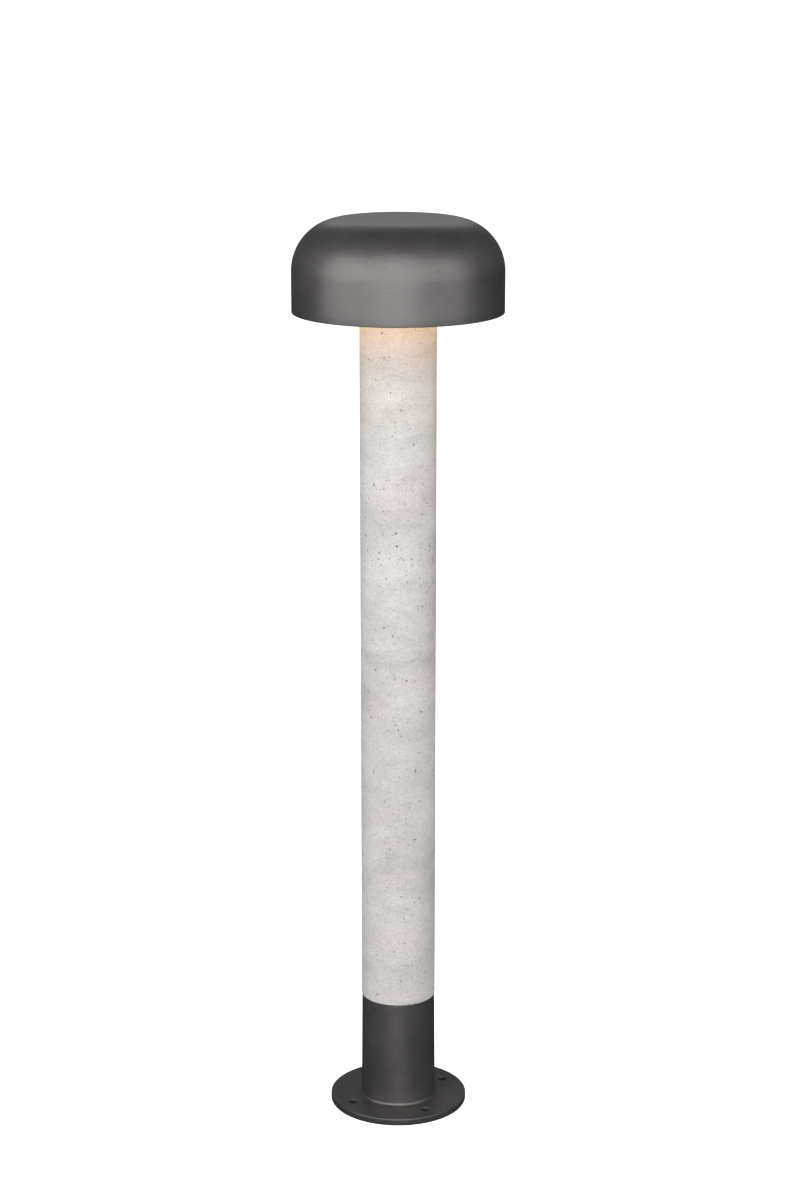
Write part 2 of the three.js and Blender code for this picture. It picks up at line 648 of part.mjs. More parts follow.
function cap() {
  const innerR = CAP_R - CAP_WALL;
  const rim = [[innerR, 0.6], [innerR + 0.6, 0], [CAP_R - 1, 0], [CAP_R, 1]];
  const outside = capFace(0, 8);
  const inside = capFace(CAP_WALL, 5).reverse();
  const bossFoot = SEAT_Z - RIM_Z + PLATE_T + GAP;
  const bossTop = bossFoot + BOSS_H;
  return carve(turned([...rim, ...outside, ...inside]), {
    add: holesOn(LUG_CIRCLE_R, lugAngles, BOSS_R, bossFoot, bossTop, SMALL),
    cut: holesOn(LUG_CIRCLE_R, lugAngles, M4_HOLE_R, bossFoot - 1, bossTop + 1, SMALL),
  });
}

function dome() {
  const group = groupAt(RIM_Z);
  place(group, "cap", cap(), graphite);
  return group;
}

// ---------------------------------------------------------------- the lantern

const lantern = new THREE.Group();
lantern.add(base(), column(), head(), dome());

export default lantern;
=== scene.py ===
# %% [markdown]
# # A garden bollard lantern
#
# A dark metal cap sits on a round concrete column, and throws its light down it. The column stands in a
# cast metal base that bolts to the ground. The lantern's frame, made elsewhere as exact solids, gives every
# piece its place and size. This lesson builds the finished surfaces round it: the spun dome, the pitted
# concrete, the coated castings, and the parts that show once the cap is lifted or the lantern is seen from
# below.

import math
import random

import bpy
from mathutils import Matrix, Vector


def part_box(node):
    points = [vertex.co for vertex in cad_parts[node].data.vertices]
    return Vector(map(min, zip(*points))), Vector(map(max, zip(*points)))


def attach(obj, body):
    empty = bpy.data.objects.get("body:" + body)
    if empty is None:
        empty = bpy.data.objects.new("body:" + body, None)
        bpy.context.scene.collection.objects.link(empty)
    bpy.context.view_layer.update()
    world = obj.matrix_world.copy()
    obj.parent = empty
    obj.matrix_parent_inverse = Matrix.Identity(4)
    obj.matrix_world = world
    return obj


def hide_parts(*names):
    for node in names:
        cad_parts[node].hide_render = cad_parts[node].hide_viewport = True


MM = 0.001
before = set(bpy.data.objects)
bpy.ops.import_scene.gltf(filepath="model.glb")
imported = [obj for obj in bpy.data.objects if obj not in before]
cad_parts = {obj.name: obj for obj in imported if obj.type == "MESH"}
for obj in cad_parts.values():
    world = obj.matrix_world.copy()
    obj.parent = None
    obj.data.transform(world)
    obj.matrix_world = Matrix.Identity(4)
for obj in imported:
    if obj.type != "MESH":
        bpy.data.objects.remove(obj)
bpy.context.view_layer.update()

# %% [markdown]
# ## Camera
#
# A tall, thin object is best seen from a little way off with a long lens, so that the column's sides stay
# nearly parallel. The camera stands above the cap and looks down, and the flange shows as a full ellipse.

# %% Camera
CAMERA_PLACE = (0, -2.3457, 1.1095)
LOOK_DOWN = math.radians(14.62)
LOOK_RIGHT = 0.0007
LENS = 78.72

bpy.ops.object.camera_add(location=CAMERA_PLACE, rotation=(math.pi / 2 - LOOK_DOWN, 0, -LOOK_RIGHT))
camera = bpy.context.object
camera.data.lens = LENS
camera.data.sensor_width = 36
bpy.context.scene.camera = camera
print("camera:", [round(v, 2) for v in camera.location], round(math.degrees(LOOK_DOWN), 1), "degrees down")

# %% [markdown]
# ## Helpers for modelling
#
# Operators act on whatever is selected, so each piece starts from an empty selection. Most of the lantern
# is round, and a round piece is drawn as half of its section and spun about the axis, as a metal spinner or
# a potter would think of it. Corners are rounded in the section, so every edge catches the light.

# %% Start from nothing selected


def start():
    if bpy.context.object and bpy.context.object.mode != "OBJECT":
        bpy.ops.object.mode_set(mode="OBJECT")
    bpy.ops.object.select_all(action="DESELECT")


def choose(piece):
    start()
    piece.select_set(True)
    bpy.context.view_layer.objects.active = piece


def apply_place(piece):
    """Puts the object's place into its mesh, so the object sits at the origin."""
    choose(piece)
    bpy.ops.object.transform_apply(location=True, rotation=True, scale=True)


# %% Outlines for spinning: [radius, height] in millimetres


def arc(centre, radius, from_deg, to_deg, steps):
    """Points along a circular arc, with both ends."""
    angles = [math.radians(from_deg + (to_deg - from_deg) * i / steps) for i in range(steps + 1)]
    return [(centre[0] + radius * math.cos(a), centre[1] + radius * math.sin(a)) for a in angles]


def rounded(corners, steps=4):
    """An outline from (radius, height, corner radius) triples, with an arc for each rounded corner."""
    outline = []
    for i, (r, z, fillet) in enumerate(corners):
        here = Vector((r, z))
        if not fillet:
            outline.append((r, z))
            continue
        back = (Vector(corners[i - 1][:2]) - here).normalized()
        ahead = (Vector(corners[(i + 1) % len(corners)][:2]) - here).normalized()
        half = back.angle(ahead) / 2
        middle = here + (back + ahead).normalized() * fillet / math.sin(half)
        first = here + back * fillet / math.tan(half) - middle
        last = here + ahead * fillet / math.tan(half) - middle
        turn = first.angle_signed(last)
        for k in range(steps + 1):
            spoke = first.copy()
            spoke.rotate(Matrix.Rotation(-turn * k / steps, 2))
            outline.append(tuple(middle + spoke))
    return outline


def turned(name, outline, sides=96, closed=True):
    """A round piece: one vertex is drawn along the outline, and the line is spun about the Z axis."""
    start()
    r, z = outline[0]
    bpy.ops.mesh.primitive_plane_add(size=MM, location=(r * MM, 0, z * MM))
    piece = bpy.context.object
    piece.name = piece.data.name = name
    bpy.ops.object.mode_set(mode="EDIT")
    bpy.ops.mesh.select_mode(type="VERT")
    bpy.ops.mesh.merge(type="CENTER")
    path = outline + outline[:1] if closed else outline
    for (r0, z0), (r1, z1) in zip(path, path[1:]):
        step = ((r1 - r0) * MM, 0, (z1 - z0) * MM)
        bpy.ops.mesh.extrude_vertices_move(TRANSFORM_OT_translate={"value": step})
    bpy.ops.mesh.select_all(action="SELECT")
    bpy.ops.mesh.spin(steps=sides, angle=2 * math.pi, center=(0, 0, 0), axis=(0, 0, 1))
    bpy.ops.mesh.select_all(action="SELECT")
    bpy.ops.mesh.remove_doubles(threshold=0.002 * MM)
    bpy.ops.mesh.delete_loose()
    bpy.ops.mesh.select_all(action="SELECT")
    bpy.ops.mesh.normals_make_consistent(inside=False)
    apply_place(piece)
    return piece


# %% Joining and cutting


def boolean(piece, other, operation, finish="INDEX", tangled=False):
    """Joins another object to a piece or cuts it away. With the finish TRANSFER, the cut faces take the
    other's material. A cutter whose own parts may cross each other is tangled, which takes longer."""
    choose(piece)
    change = piece.modifiers.new("change", "BOOLEAN")
    change.operation = operation
    change.object = other
    change.solver = "EXACT"
    change.material_mode = finish
    change.use_self = tangled
    bpy.ops.object.modifier_apply(modifier=change.name)
    bpy.data.objects.remove(other)


def gather(pieces, name):
    """Makes one object of several."""
    start()
    for piece in pieces:
        piece.select_set(True)
    bpy.context.view_layer.objects.active = pieces[0]
    bpy.ops.object.join()
    whole = bpy.context.object
    whole.name = whole.data.name = name
    return whole


def shifted(piece, x, y, z=0.0):
    """Moves a piece's mesh, in millimetres."""
    piece.data.transform(Matrix.Translation((x * MM, y * MM, z * MM)))
    return piece


def copied(piece, name, place=(0, 0, 0), turn=0.0):
    """A copy with its own mesh, turned about its own upright axis and moved, with the place in the mesh."""
    twin = piece.copy()
    twin.data = piece.data.copy()
    twin.name = twin.data.name = name
    bpy.context.collection.objects.link(twin)
    twin.data.transform(Matrix.Translation(place) @ Matrix.Rotation(turn, 4, "Z"))
    return twin


def rod(radius, bottom, top, x=0.0, y=0.0, sides=32):
    """A plain upright rod in millimetres, for cutting round holes or for joining to a casting."""
    start()
    bpy.ops.mesh.primitive_cylinder_add(
        vertices=sides, radius=radius * MM, depth=(top - bottom) * MM,
        location=(x * MM, y * MM, (bottom + top) / 2 * MM))
    apply_place(bpy.context.object)
    return bpy.context.object


def drill(piece, radius, bottom, top, places, sides=24):
    """Drills upright holes in a piece, one at each place in plan."""
    for x, y in places:
        boolean(piece, rod(radius, bottom, top, x, y, sides), "DIFFERENCE")


def soften(piece, width, angle=35, segments=2):
    """Breaks the sharp edges with a small bevel."""
    choose(piece)
    bevel = piece.modifiers.new("edges", "BEVEL")
    bevel.width = width * MM
    bevel.segments = segments
    bevel.limit_method = "ANGLE"
    bevel.angle_limit = math.radians(angle)
    bevel.miter_outer = "MITER_ARC"
    bevel.use_clamp_overlap = True
    bpy.ops.object.modifier_apply(modifier=bevel.name)


def pick(piece, wanted):
    """Goes into edit mode with only the wanted faces selected. wanted is a test on a face."""
    choose(piece)
    bpy.ops.object.mode_set(mode="EDIT")
    bpy.ops.mesh.select_mode(type="FACE")
    bpy.ops.mesh.select_all(action="DESELECT")
    bpy.ops.object.mode_set(mode="OBJECT")
    for face in piece.data.polygons:
        face.select = wanted(face)
    bpy.ops.object.mode_set(mode="EDIT")


def round_upright_edges(piece, radius, segments=4):
    """Rounds the upright edges of a bar, which are those whose ends lie on one plumb line."""
    choose(piece)
    bpy.ops.object.mode_set(mode="EDIT")
    bpy.ops.mesh.select_mode(type="EDGE")
    bpy.ops.mesh.select_all(action="DESELECT")
    bpy.ops.object.mode_set(mode="OBJECT")
    points = piece.data.vertices
    for edge in piece.data.edges:
        a, b = (points[i].co for i in edge.vertices)
        edge.select = abs(a.x - b.x) < 1e-6 and abs(a.y - b.y) < 1e-6
    bpy.ops.object.mode_set(mode="EDIT")
    bpy.ops.mesh.bevel(offset=radius * MM, segments=segments)
    bpy.ops.object.mode_set(mode="OBJECT")


def smooth(piece, angle=30):
    """Shades the surface smooth, and keeps edges sharper than the angle."""
    choose(piece)
    bpy.ops.object.shade_smooth_by_angle(angle=math.radians(angle))


def polar(radius, degrees):
    return radius * math.cos(math.radians(degrees)), radius * math.sin(math.radians(degrees))


def box_mm(node):
    """A node's lowest and highest corner in millimetres."""
    low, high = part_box(node)
    return [v * 1000 for v in low], [v * 1000 for v in high]


def plan(node):
    """Where a node stands, seen from above: the middle of its box, in millimetres."""
    low, high = box_mm(node)
    return (low[0] + high[0]) / 2, (low[1] + high[1]) / 2


def numbered(name, count):
    return [f"{name}_{i}" for i in range(1, count + 1)]


print("the concrete column stands at", [round(v, 1) for v in plan("concrete_column")])

# %% [markdown]
# ## Helpers for materials
#
# A material is a small tree of nodes. One function adds a node with its settings and its inputs, where an
# input is a plain value, another node or one of its outputs. Colours are picked as sRGB hex values, as on a
# colour chart, but the renderer adds light in linear values, so another function turns the one into the
# other. A finish gets its unevenness from layers, which are patterns that the colour is multiplied by: 1
# leaves it as it is.

# %% Colours and nodes


def linear(hex_colour):
    parts = [int(hex_colour[i : i + 2], 16) / 255 for i in (1, 3, 5)]
    return tuple(c / 12.92 if c <= 0.04045 else ((c + 0.055) / 1.055) ** 2.4 for c in parts) + (1.0,)


def grey(value):
    return value, value, value, 1


def add(tree, kind, inputs=None, settings=None, stops=()):
    """Adds a node. inputs are values, nodes (for their first output) or outputs, settings are its own fields,
    and stops are a colour ramp's positions and colours."""
    made = tree.nodes.new("ShaderNode" + kind)
    for field, value in (settings or {}).items():
        setattr(made, field, value)
    for socket, value in (inputs or {}).items():
        if isinstance(value, bpy.types.Node):
            value = value.outputs[0]
        if isinstance(value, bpy.types.NodeSocket):
            tree.links.new(value, made.inputs[socket])
        else:
            made.inputs[socket].default_value = value
    for _ in stops[2:]:
        made.color_ramp.elements.new(0.5)
    for i, (position, colour) in enumerate(stops):
        made.color_ramp.elements[i].position = position
        made.color_ramp.elements[i].color = colour
    return made


def new_material(name):
    """An empty material, with its tree and the Object coordinates that its patterns read."""
    material = bpy.data.materials.new(name)
    material.use_nodes = True
    material.node_tree.nodes.clear()
    place = add(material.node_tree, "TexCoord").outputs["Object"]
    return material, material.node_tree, place


def surface(tree, inputs):
    """Ends a tree with a Principled surface."""
    add(tree, "OutputMaterial", {"Surface": add(tree, "BsdfPrincipled", inputs)})


FACTOR, FIRST, SECOND, RESULT = 0, 6, 7, 2  # a colour Mix node's sockets


def layered(tree, tone, layers):
    """Multiplies a colour by each layer in turn, as strongly as the layer's share says."""
    for layer, share in layers:
        tone = add(tree, "Mix", {FACTOR: share, FIRST: tone, SECOND: layer},
                   {"data_type": "RGBA", "blend_type": "MULTIPLY"}).outputs[RESULT]
    return tone


def grain(size):
    """Noise scale for a pattern whose blobs are this many millimetres apart."""
    return 1 / (size * MM)


print("a 1 mm grain has scale", grain(1))


# %% [markdown]
# ## Powder-coated aluminium
#
# The cap, the base and the bezel are cast aluminium, sprayed with dry graphite-grey powder and baked. The
# powder melts into a matt skin with a very fine orange-peel grain, a little uneven from place to place. The
# skin is a polymer, so its IOR is about 1.5, and it is full of fine metal flakes, which give the highlight
# its soft metal sheen. The tool that turned the casting leaves faint level lines that still show through.
# The real grain is near 0.3 mm. It is drawn at about 1 mm, because anything finer wouldn't show.

# %% Powder-coated aluminium


def powder_coat(name, colour, roughness, metallic):
    material, tree, place = new_material(name)
    fine = add(tree, "TexNoise", {"Vector": place, "Scale": grain(1.1), "Detail": 3.0, "Roughness": 0.6})
    broad = add(tree, "TexNoise", {"Vector": place, "Scale": grain(38), "Detail": 4.0, "Roughness": 0.55})
    round_the_axis = add(tree, "Mapping", {"Vector": place, "Scale": (0.06, 0.06, 1.0)})
    turning = add(tree, "TexNoise", {"Vector": round_the_axis, "Scale": grain(1.4), "Detail": 3.0})
    mottle = add(tree, "ValToRGB", {"Fac": broad}, stops=[(0.3, grey(0.90)), (0.7, grey(1.08))])
    speck = add(tree, "ValToRGB", {"Fac": fine}, stops=[(0.3, grey(0.90)), (0.72, grey(1.10))])
    lines = add(tree, "ValToRGB", {"Fac": turning}, stops=[(0.3, grey(0.95)), (0.7, grey(1.03))])
    tone = layered(tree, linear(colour), [(mottle, 1.0), (speck, 1.0), (lines, 1.0)])
    gloss = add(tree, "MapRange", {"Value": broad, "From Min": 0.3, "From Max": 0.7,
                                   "To Min": roughness - 0.03, "To Max": roughness + 0.04})
    bump = add(tree, "Bump", {"Height": fine, "Strength": 0.25, "Distance": 0.08 * MM})
    surface(tree, {"Base Color": tone, "Roughness": gloss, "Metallic": metallic, "IOR": 1.5, "Normal": bump})
    return material


graphite_coat = powder_coat("graphite powder coat on cast aluminium", "#716f6e", 0.42, 0.85)
print("material:", graphite_coat.name)

# %% [markdown]
# ## Cast concrete
#
# The column is poured in a smooth tube, so its face is flat and dull, in a warm light grey. The cement
# clouds where the mix was worked, mostly in level bands, and air that was trapped against the mould leaves
# pinholes, crowded in some places. The larger holes are real dents, cut into the mesh below, and their walls
# take a darker finish, which is painted shade. Most of the pinholes are about a millimetre across or less,
# so they are drawn here, from Voronoi cells of which only some hold a hole, and each is painted dark grey,
# which is painted shade inside it. Cement has an IOR of about 1.5 and is very rough. Its sand is finer than
# the 1.5 mm that it is drawn at, which is as fine as shows.

# %% Cast concrete: its tone


def concrete_tone(tree, place):
    """The clouded grey of the cement, and the heights of its grit and its mottle."""
    banded = add(tree, "Mapping", {"Vector": place, "Scale": (1.0, 1.0, 2.2)})
    clouds = add(tree, "TexNoise", {"Vector": banded, "Scale": grain(75), "Detail": 6.0, "Roughness": 0.62,
                                    "Distortion": 0.4})
    blush = add(tree, "TexNoise", {"Vector": banded, "Scale": grain(110), "Detail": 2.0})
    mottle = add(tree, "TexNoise", {"Vector": place, "Scale": grain(7), "Detail": 5.0, "Roughness": 0.7})
    sand = add(tree, "TexNoise", {"Vector": place, "Scale": grain(1.5), "Detail": 3.0, "Roughness": 0.75})
    level = add(tree, "Mapping", {"Vector": place, "Scale": (0.5, 0.5, 1.8)})
    smears = add(tree, "TexNoise", {"Vector": level, "Scale": grain(3.2), "Detail": 2.0, "Distortion": 0.6})
    base = add(tree, "ValToRGB", {"Fac": clouds},
               stops=[(0.30, linear("#a9a6a4")), (0.46, linear("#b7b4b2")), (0.62, linear("#c1bebc"))])
    rosy = add(tree, "ValToRGB", {"Fac": blush}, stops=[(0.40, grey(1.0)), (0.62, (1.0, 0.972, 0.985, 1))])
    spots = add(tree, "ValToRGB", {"Fac": mottle}, stops=[(0.28, grey(0.88)), (0.66, grey(1.04))])
    grit = add(tree, "ValToRGB", {"Fac": sand}, stops=[(0.30, (0.74, 0.73, 0.72, 1)), (0.62, grey(1.12))])
    marks = add(tree, "ValToRGB", {"Fac": smears}, stops=[(0.30, (0.80, 0.79, 0.78, 1)), (0.38, grey(1.0))])
    return layered(tree, base, [(rosy, 1.0), (spots, 0.5), (grit, 0.8), (marks, 0.7)]), sand, mottle


# %% Cast concrete: its pinholes


def pinholes(tree, place, spacing, share, width):
    """1 inside a pinhole and 0 outside. One cell in so many has a hole, up to so many millimetres wide."""
    cells = add(tree, "TexVoronoi", {"Vector": place, "Scale": grain(spacing), "Randomness": 1.0},
                {"feature": "F1"})
    draw = add(tree, "SeparateColor", {"Color": cells.outputs["Color"]})
    reach = add(tree, "MapRange", {"Value": draw, "From Min": 1 - share, "From Max": 1.0,
                                   "To Min": 0.0, "To Max": width / spacing / 2}, {"clamp": True})
    inside = add(tree, "Math", {0: reach, 1: cells.outputs["Distance"]}, {"operation": "SUBTRACT"})
    steepness = 6 * spacing / width
    return add(tree, "Math", {0: inside, 1: steepness}, {"operation": "MULTIPLY", "use_clamp": True})


def crowded_pinholes(tree, place):
    """Small pinholes that crowd together in some places, and larger ones that don't."""
    tall = add(tree, "Mapping", {"Vector": place, "Scale": (1.0, 1.0, 0.7)})
    crowd = add(tree, "TexNoise", {"Vector": place, "Scale": grain(30), "Detail": 1.0})
    share = add(tree, "MapRange", {"Value": crowd, "From Min": 0.42, "From Max": 0.58,
                                   "To Min": 0.1, "To Max": 1.0}, {"clamp": True})
    pins = pinholes(tree, tall, 2.6, 0.5, 1.6)
    small = add(tree, "Math", {0: pins, 1: share}, {"operation": "MULTIPLY"})
    return add(tree, "Math", {0: small, 1: pinholes(tree, place, 6.5, 0.35, 2.1)}, {"operation": "MAXIMUM"})


# %% Cast concrete: the finish


def cast_concrete():
    material, tree, place = new_material("cast concrete, smooth mould face")
    tone, sand, mottle = concrete_tone(tree, place)
    holes = crowded_pinholes(tree, place)
    # The pinholes are painted dark grey: painted shade inside each small hole.
    colour = add(tree, "Mix", {FACTOR: holes, FIRST: tone, SECOND: linear("#6f6965")}, {"data_type": "RGBA"})
    rough = add(tree, "MapRange", {"Value": mottle, "From Min": 0.3, "From Max": 0.7,
                                   "To Min": 0.82, "To Max": 0.95})
    sunk = add(tree, "Math", {0: holes, 1: -1.0, 2: 1.0}, {"operation": "MULTIPLY_ADD"})
    grit = add(tree, "Bump", {"Height": sand, "Strength": 0.45, "Distance": 0.12 * MM})
    dents = add(tree, "Bump", {"Height": sunk, "Strength": 0.8, "Distance": 0.4 * MM, "Normal": grit})
    surface(tree, {"Base Color": colour.outputs[RESULT], "Roughness": rough, "IOR": 1.5, "Normal": dents})
    return material


def pore_shade_lining():
    """Painted shade: inside a blowhole the cement is drawn darker than the mould face."""
    material, tree, place = new_material("cast concrete, inside a blowhole")
    pore_shade_mottle = add(tree, "TexNoise", {"Vector": place, "Scale": grain(0.8), "Detail": 3.0})
    colour = add(tree, "ValToRGB", {"Fac": pore_shade_mottle}, stops=[(0.3, linear("#6d6763")), (0.7, linear("#948e8a"))])
    bump = add(tree, "Bump", {"Height": pore_shade_mottle, "Strength": 0.4, "Distance": 0.2 * MM})
    surface(tree, {"Base Color": colour, "Roughness": 0.95, "IOR": 1.5, "Normal": bump})
    return material


concrete = cast_concrete()
blowhole = pore_shade_lining()
print("material:", concrete.name, "and", blowhole.name)

# %% [markdown]
# ## Bare metals
#
# Three metals are left bare. The head is sand-cast aluminium, dull and a little pebbled, with a skin from
# the mould. The core tube, its washers and nuts are zinc-plated steel, bright and faintly patchy. The
# screws are stainless steel, tumbled smooth. Each is a full metal, so its colour is its reflection and its
# IOR is left alone. What tells them apart is how rough they are and how coarse their grain is.

# %% Bare metals


def bare_metal(name, dark, light, roughness, grain_mm, depth_mm):
    """A bare metal: two close tones in soft patches, uneven gloss, and the surface's own grain."""
    material, tree, place = new_material(name)
    patches = add(tree, "TexNoise", {"Vector": place, "Scale": grain(grain_mm * 14), "Detail": 4.0})
    pebble = add(tree, "TexNoise", {"Vector": place, "Scale": grain(grain_mm), "Detail": 3.0,
                                    "Roughness": 0.55})
    tone = add(tree, "ValToRGB", {"Fac": patches}, stops=[(0.32, linear(dark)), (0.66, linear(light))])
    gloss = add(tree, "MapRange", {"Value": pebble, "From Min": 0.3, "From Max": 0.7,
                                   "To Min": roughness - 0.06, "To Max": roughness + 0.08})
    bump = add(tree, "Bump", {"Height": pebble, "Strength": 0.5, "Distance": depth_mm * MM})
    surface(tree, {"Base Color": tone, "Metallic": 1.0, "Roughness": gloss, "Normal": bump})
    return material


cast_aluminium = bare_metal("bare sand-cast aluminium", "#9e9c9b", "#b8b6b4", 0.50, 0.9, 0.12)
zinc_plate = bare_metal("zinc-plated steel", "#a9aaa4", "#c4c6c6", 0.30, 0.5, 0.02)
stainless = bare_metal("stainless steel, tumbled", "#b3b0aa", "#c9c6c0", 0.24, 0.4, 0.015)
print("materials:", cast_aluminium.name, "/", zinc_plate.name, "/", stainless.name)

# %% [markdown]
# ## Moulded rubber and plastics
#
# Everything that insulates or seals is moulded. Rubber is soft black and dull, silicone is milky and lets
# light through, nylon is dark with a fine spark-eroded grain, and the white parts are a smooth, slightly
# glossy polyester. They share one build: a faint cloud in the colour, uneven gloss, and a fine bump from
# the mould. The real grain is about 0.1 mm, and is drawn four to five times coarser so that it shows.

# %% Moulded rubber and plastics


def moulded(name, dark, light, roughness, ior, grain_mm, depth_mm, see_through=0.0):
    material, tree, place = new_material(name)
    cloud = add(tree, "TexNoise", {"Vector": place, "Scale": grain(12), "Detail": 4.0, "Roughness": 0.6})
    texture = add(tree, "TexNoise", {"Vector": place, "Scale": grain(grain_mm), "Detail": 2.0})
    tone = add(tree, "ValToRGB", {"Fac": cloud}, stops=[(0.3, linear(dark)), (0.7, linear(light))])
    gloss = add(tree, "MapRange", {"Value": cloud, "From Min": 0.3, "From Max": 0.7,
                                   "To Min": roughness - 0.05, "To Max": roughness + 0.06})
    bump = add(tree, "Bump", {"Height": texture, "Strength": 0.4, "Distance": depth_mm * MM})
    surface(tree, {"Base Color": tone, "Roughness": gloss, "IOR": ior, "Transmission Weight": see_through,
                   "Normal": bump})
    return material


rubber = moulded("black EPDM rubber", "#161616", "#222120", 0.62, 1.52, 0.5, 0.05)
silicone = moulded("translucent silicone rubber", "#d9d9d3", "#e8e8e4", 0.42, 1.41, 0.5, 0.03, 0.45)
nylon = moulded("black glass-filled nylon", "#1b1b1c", "#2a2a2b", 0.48, 1.53, 0.4, 0.06)
white_polyester = moulded("white moulded polyester", "#dcdbd5", "#edece7", 0.34, 1.52, 0.4, 0.02)
print("materials:", rubber.name, "/", silicone.name, "/", nylon.name, "/", white_polyester.name)

# %% [markdown]
# ## Circuit board, LED phosphor and opal acrylic
#
# The board is aluminium under a white solder mask, silk smooth, and its copper tracks run round the ring
# and just show as faint raised lines. They follow the distance from the axis, so that distance drives a
# wave. The LEDs' windows are silicone loaded with yellow phosphor, which glows warm when lit. The lamp's
# ring is milky acrylic with the LEDs behind it. It glows evenly in a warm white, so it is given emission as
# well as its own pale colour. Acrylic's IOR is 1.49, and a light blasting takes off most of its gloss.

# %% Circuit board
TRACK_PITCH = 3.0


def solder_mask():
    material, tree, place = new_material("white solder mask on aluminium board")
    level = add(tree, "Mapping", {"Vector": place, "Scale": (1.0, 1.0, 0.0)})
    reach = add(tree, "VectorMath", {0: level}, {"operation": "LENGTH"}).outputs["Value"]
    track = add(tree, "Math", {0: reach, 1: TRACK_PITCH / 2 * MM}, {"operation": "PINGPONG"})
    edge = add(tree, "MapRange", {"Value": track, "From Min": 0.35 * MM, "From Max": 0.55 * MM})
    speck = add(tree, "TexNoise", {"Vector": place, "Scale": grain(0.8), "Detail": 2.0})
    tone = add(tree, "ValToRGB", {"Fac": edge}, stops=[(0.0, linear("#d3d4ce")), (1.0, linear("#e9eae6"))])
    rough = add(tree, "MapRange", {"Value": speck, "To Min": 0.28, "To Max": 0.42})
    bump = add(tree, "Bump", {"Height": edge, "Strength": 0.6, "Distance": 0.07 * MM})
    surface(tree, {"Base Color": tone, "Roughness": rough, "IOR": 1.52, "Normal": bump})
    return material


board_mask = solder_mask()
print("material:", board_mask.name)

# %% What glows


def lit(name, own, dim, bright, strength, roughness, ior, haze_mm, detail):
    """A finish that glows, a little dimmer in one place than in another."""
    material, tree, place = new_material(name)
    haze = add(tree, "TexNoise", {"Vector": place, "Scale": grain(haze_mm), "Detail": detail})
    glow = add(tree, "ValToRGB", {"Fac": haze}, stops=[(0.3, linear(dim)), (0.7, linear(bright))])
    surface(tree, {"Base Color": linear(own), "Roughness": roughness, "IOR": ior,
                   "Emission Color": glow, "Emission Strength": strength})
    return material


phosphor = lit("phosphor in silicone, lit", "#e3b53c", "#ffcf8c", "#ffdda2", 4.0, 0.3, 1.41, 0.5, 3.0)
opal = lit("opal acrylic, lit from behind", "#f4efe6", "#ffbf62", "#ffc870", 4.4, 0.35, 1.49, 14, 2.0)
print("materials:", phosphor.name, "/", opal.name)

# %% [markdown]
# ## Handing a finished piece over
#
# Each finished piece takes the place of one of the frame's nodes. It rides with the body that the node
# belongs to, so that the cap's surface lifts with the cap.


def hand_over(piece, node, material, body="lantern", angle=30):
    """Shades a piece, gives it its finish unless it has one, and puts it in a node's place."""
    smooth(piece, angle)
    if not piece.data.materials:
        piece.data.materials.append(material)
    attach(piece, body)
    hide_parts(node)
    size = [round(v * 1000, 1) for v in piece.dimensions]
    print(f"{piece.name}: {len(piece.data.polygons)} faces, {size} mm")


# %% [markdown]
# ## The cap
#
# The cap is a low dome with an almost flat crown, one large round shoulder, straight sides and a thin rim.
# It could be a sphere squashed and cut, but a spinner forms it from a flat disc over a chuck, and its
# section is just two arcs and a line. So the section is drawn from the rim up the outside and back down the
# inside, and spun. Three bosses inside take the screws.

# %% The cap's section
CAP_WALL = 3.0
CAP_CORNER = 47.0
CROWN_SLOPE = 2.2  # degrees, where the shoulder meets the crown
RIM_ROUND = 0.9
CAP_SIDES = 192

cap_low, cap_high = box_mm("cap")
cap_radius = (cap_high[0] - cap_low[0]) / 2
cap_rim, cap_top = cap_low[2], cap_high[2]


def cap_face(depth, steps):
    """One face of the wall, from the top of the straight side to the middle of the crown."""
    middle = cap_radius - CAP_CORNER
    slope = math.radians(CROWN_SLOPE)
    crown = (middle + CAP_CORNER * math.sin(slope)) / math.sin(slope)
    height = cap_top - crown + (crown - CAP_CORNER) * math.cos(slope)
    shoulder = arc((middle, height), CAP_CORNER - depth, 0, 90 - CROWN_SLOPE, steps)
    flat = arc((0, cap_top - crown), crown - depth, 90 - CROWN_SLOPE, 90, 6)
    flat[-1] = (0.0, cap_top - depth)
    return shoulder + flat[1:]


inner_radius = cap_radius - CAP_WALL
rim = rounded([(inner_radius, cap_rim + 8, 0), (inner_radius, cap_rim, RIM_ROUND),
               (cap_radius, cap_rim, RIM_ROUND), (cap_radius, cap_rim + 8, 0)], 5)
cap_outline = rim + cap_face(0, 40) + cap_face(CAP_WALL, 24)[::-1]
cap = turned("cap_dome", cap_outline, CAP_SIDES)
print("cap outline:", len(cap_outline), "points, rim radius", round(cap_radius, 1))

# %% Bosses inside the cap
BOSS_R = 4.6
BOSS_H = 11.0
CAP_SCREW_HOLE_R = 2.3

lug_places = [plan(node) for node in numbered("cap_screw", 3)]
plate_top = box_mm("upper_washer")[0][2] - 0.2
boss_foot = plate_top + 0.3
for x, y in lug_places:
    boolean(cap, rod(BOSS_R, boss_foot, boss_foot + BOSS_H, x, y), "UNION")
drill(cap, CAP_SCREW_HOLE_R, boss_foot - 1, boss_foot + BOSS_H - 1.5, lug_places)
hand_over(cap, "cap", graphite_coat, "cap")

# %% [markdown]
# ## The concrete column
#
# The column is a hollow cylinder with its arrises just rubbed off. What makes it concrete is the holes: air
# bubbles burst against the mould and leave small dents, thicker in some places than others. They could be
# painted on, but then they'd have no depth when the light comes down the column from the lamp. So small
# lumps, each an icosphere pulled out of shape, are scattered over the face and cut away, with a few larger
# ones on the arrises.

# %% Column
BLOWHOLES = 330
CHIPS = 7
COLUMN_BORE_R = 21.0
ARRIS = 0.8

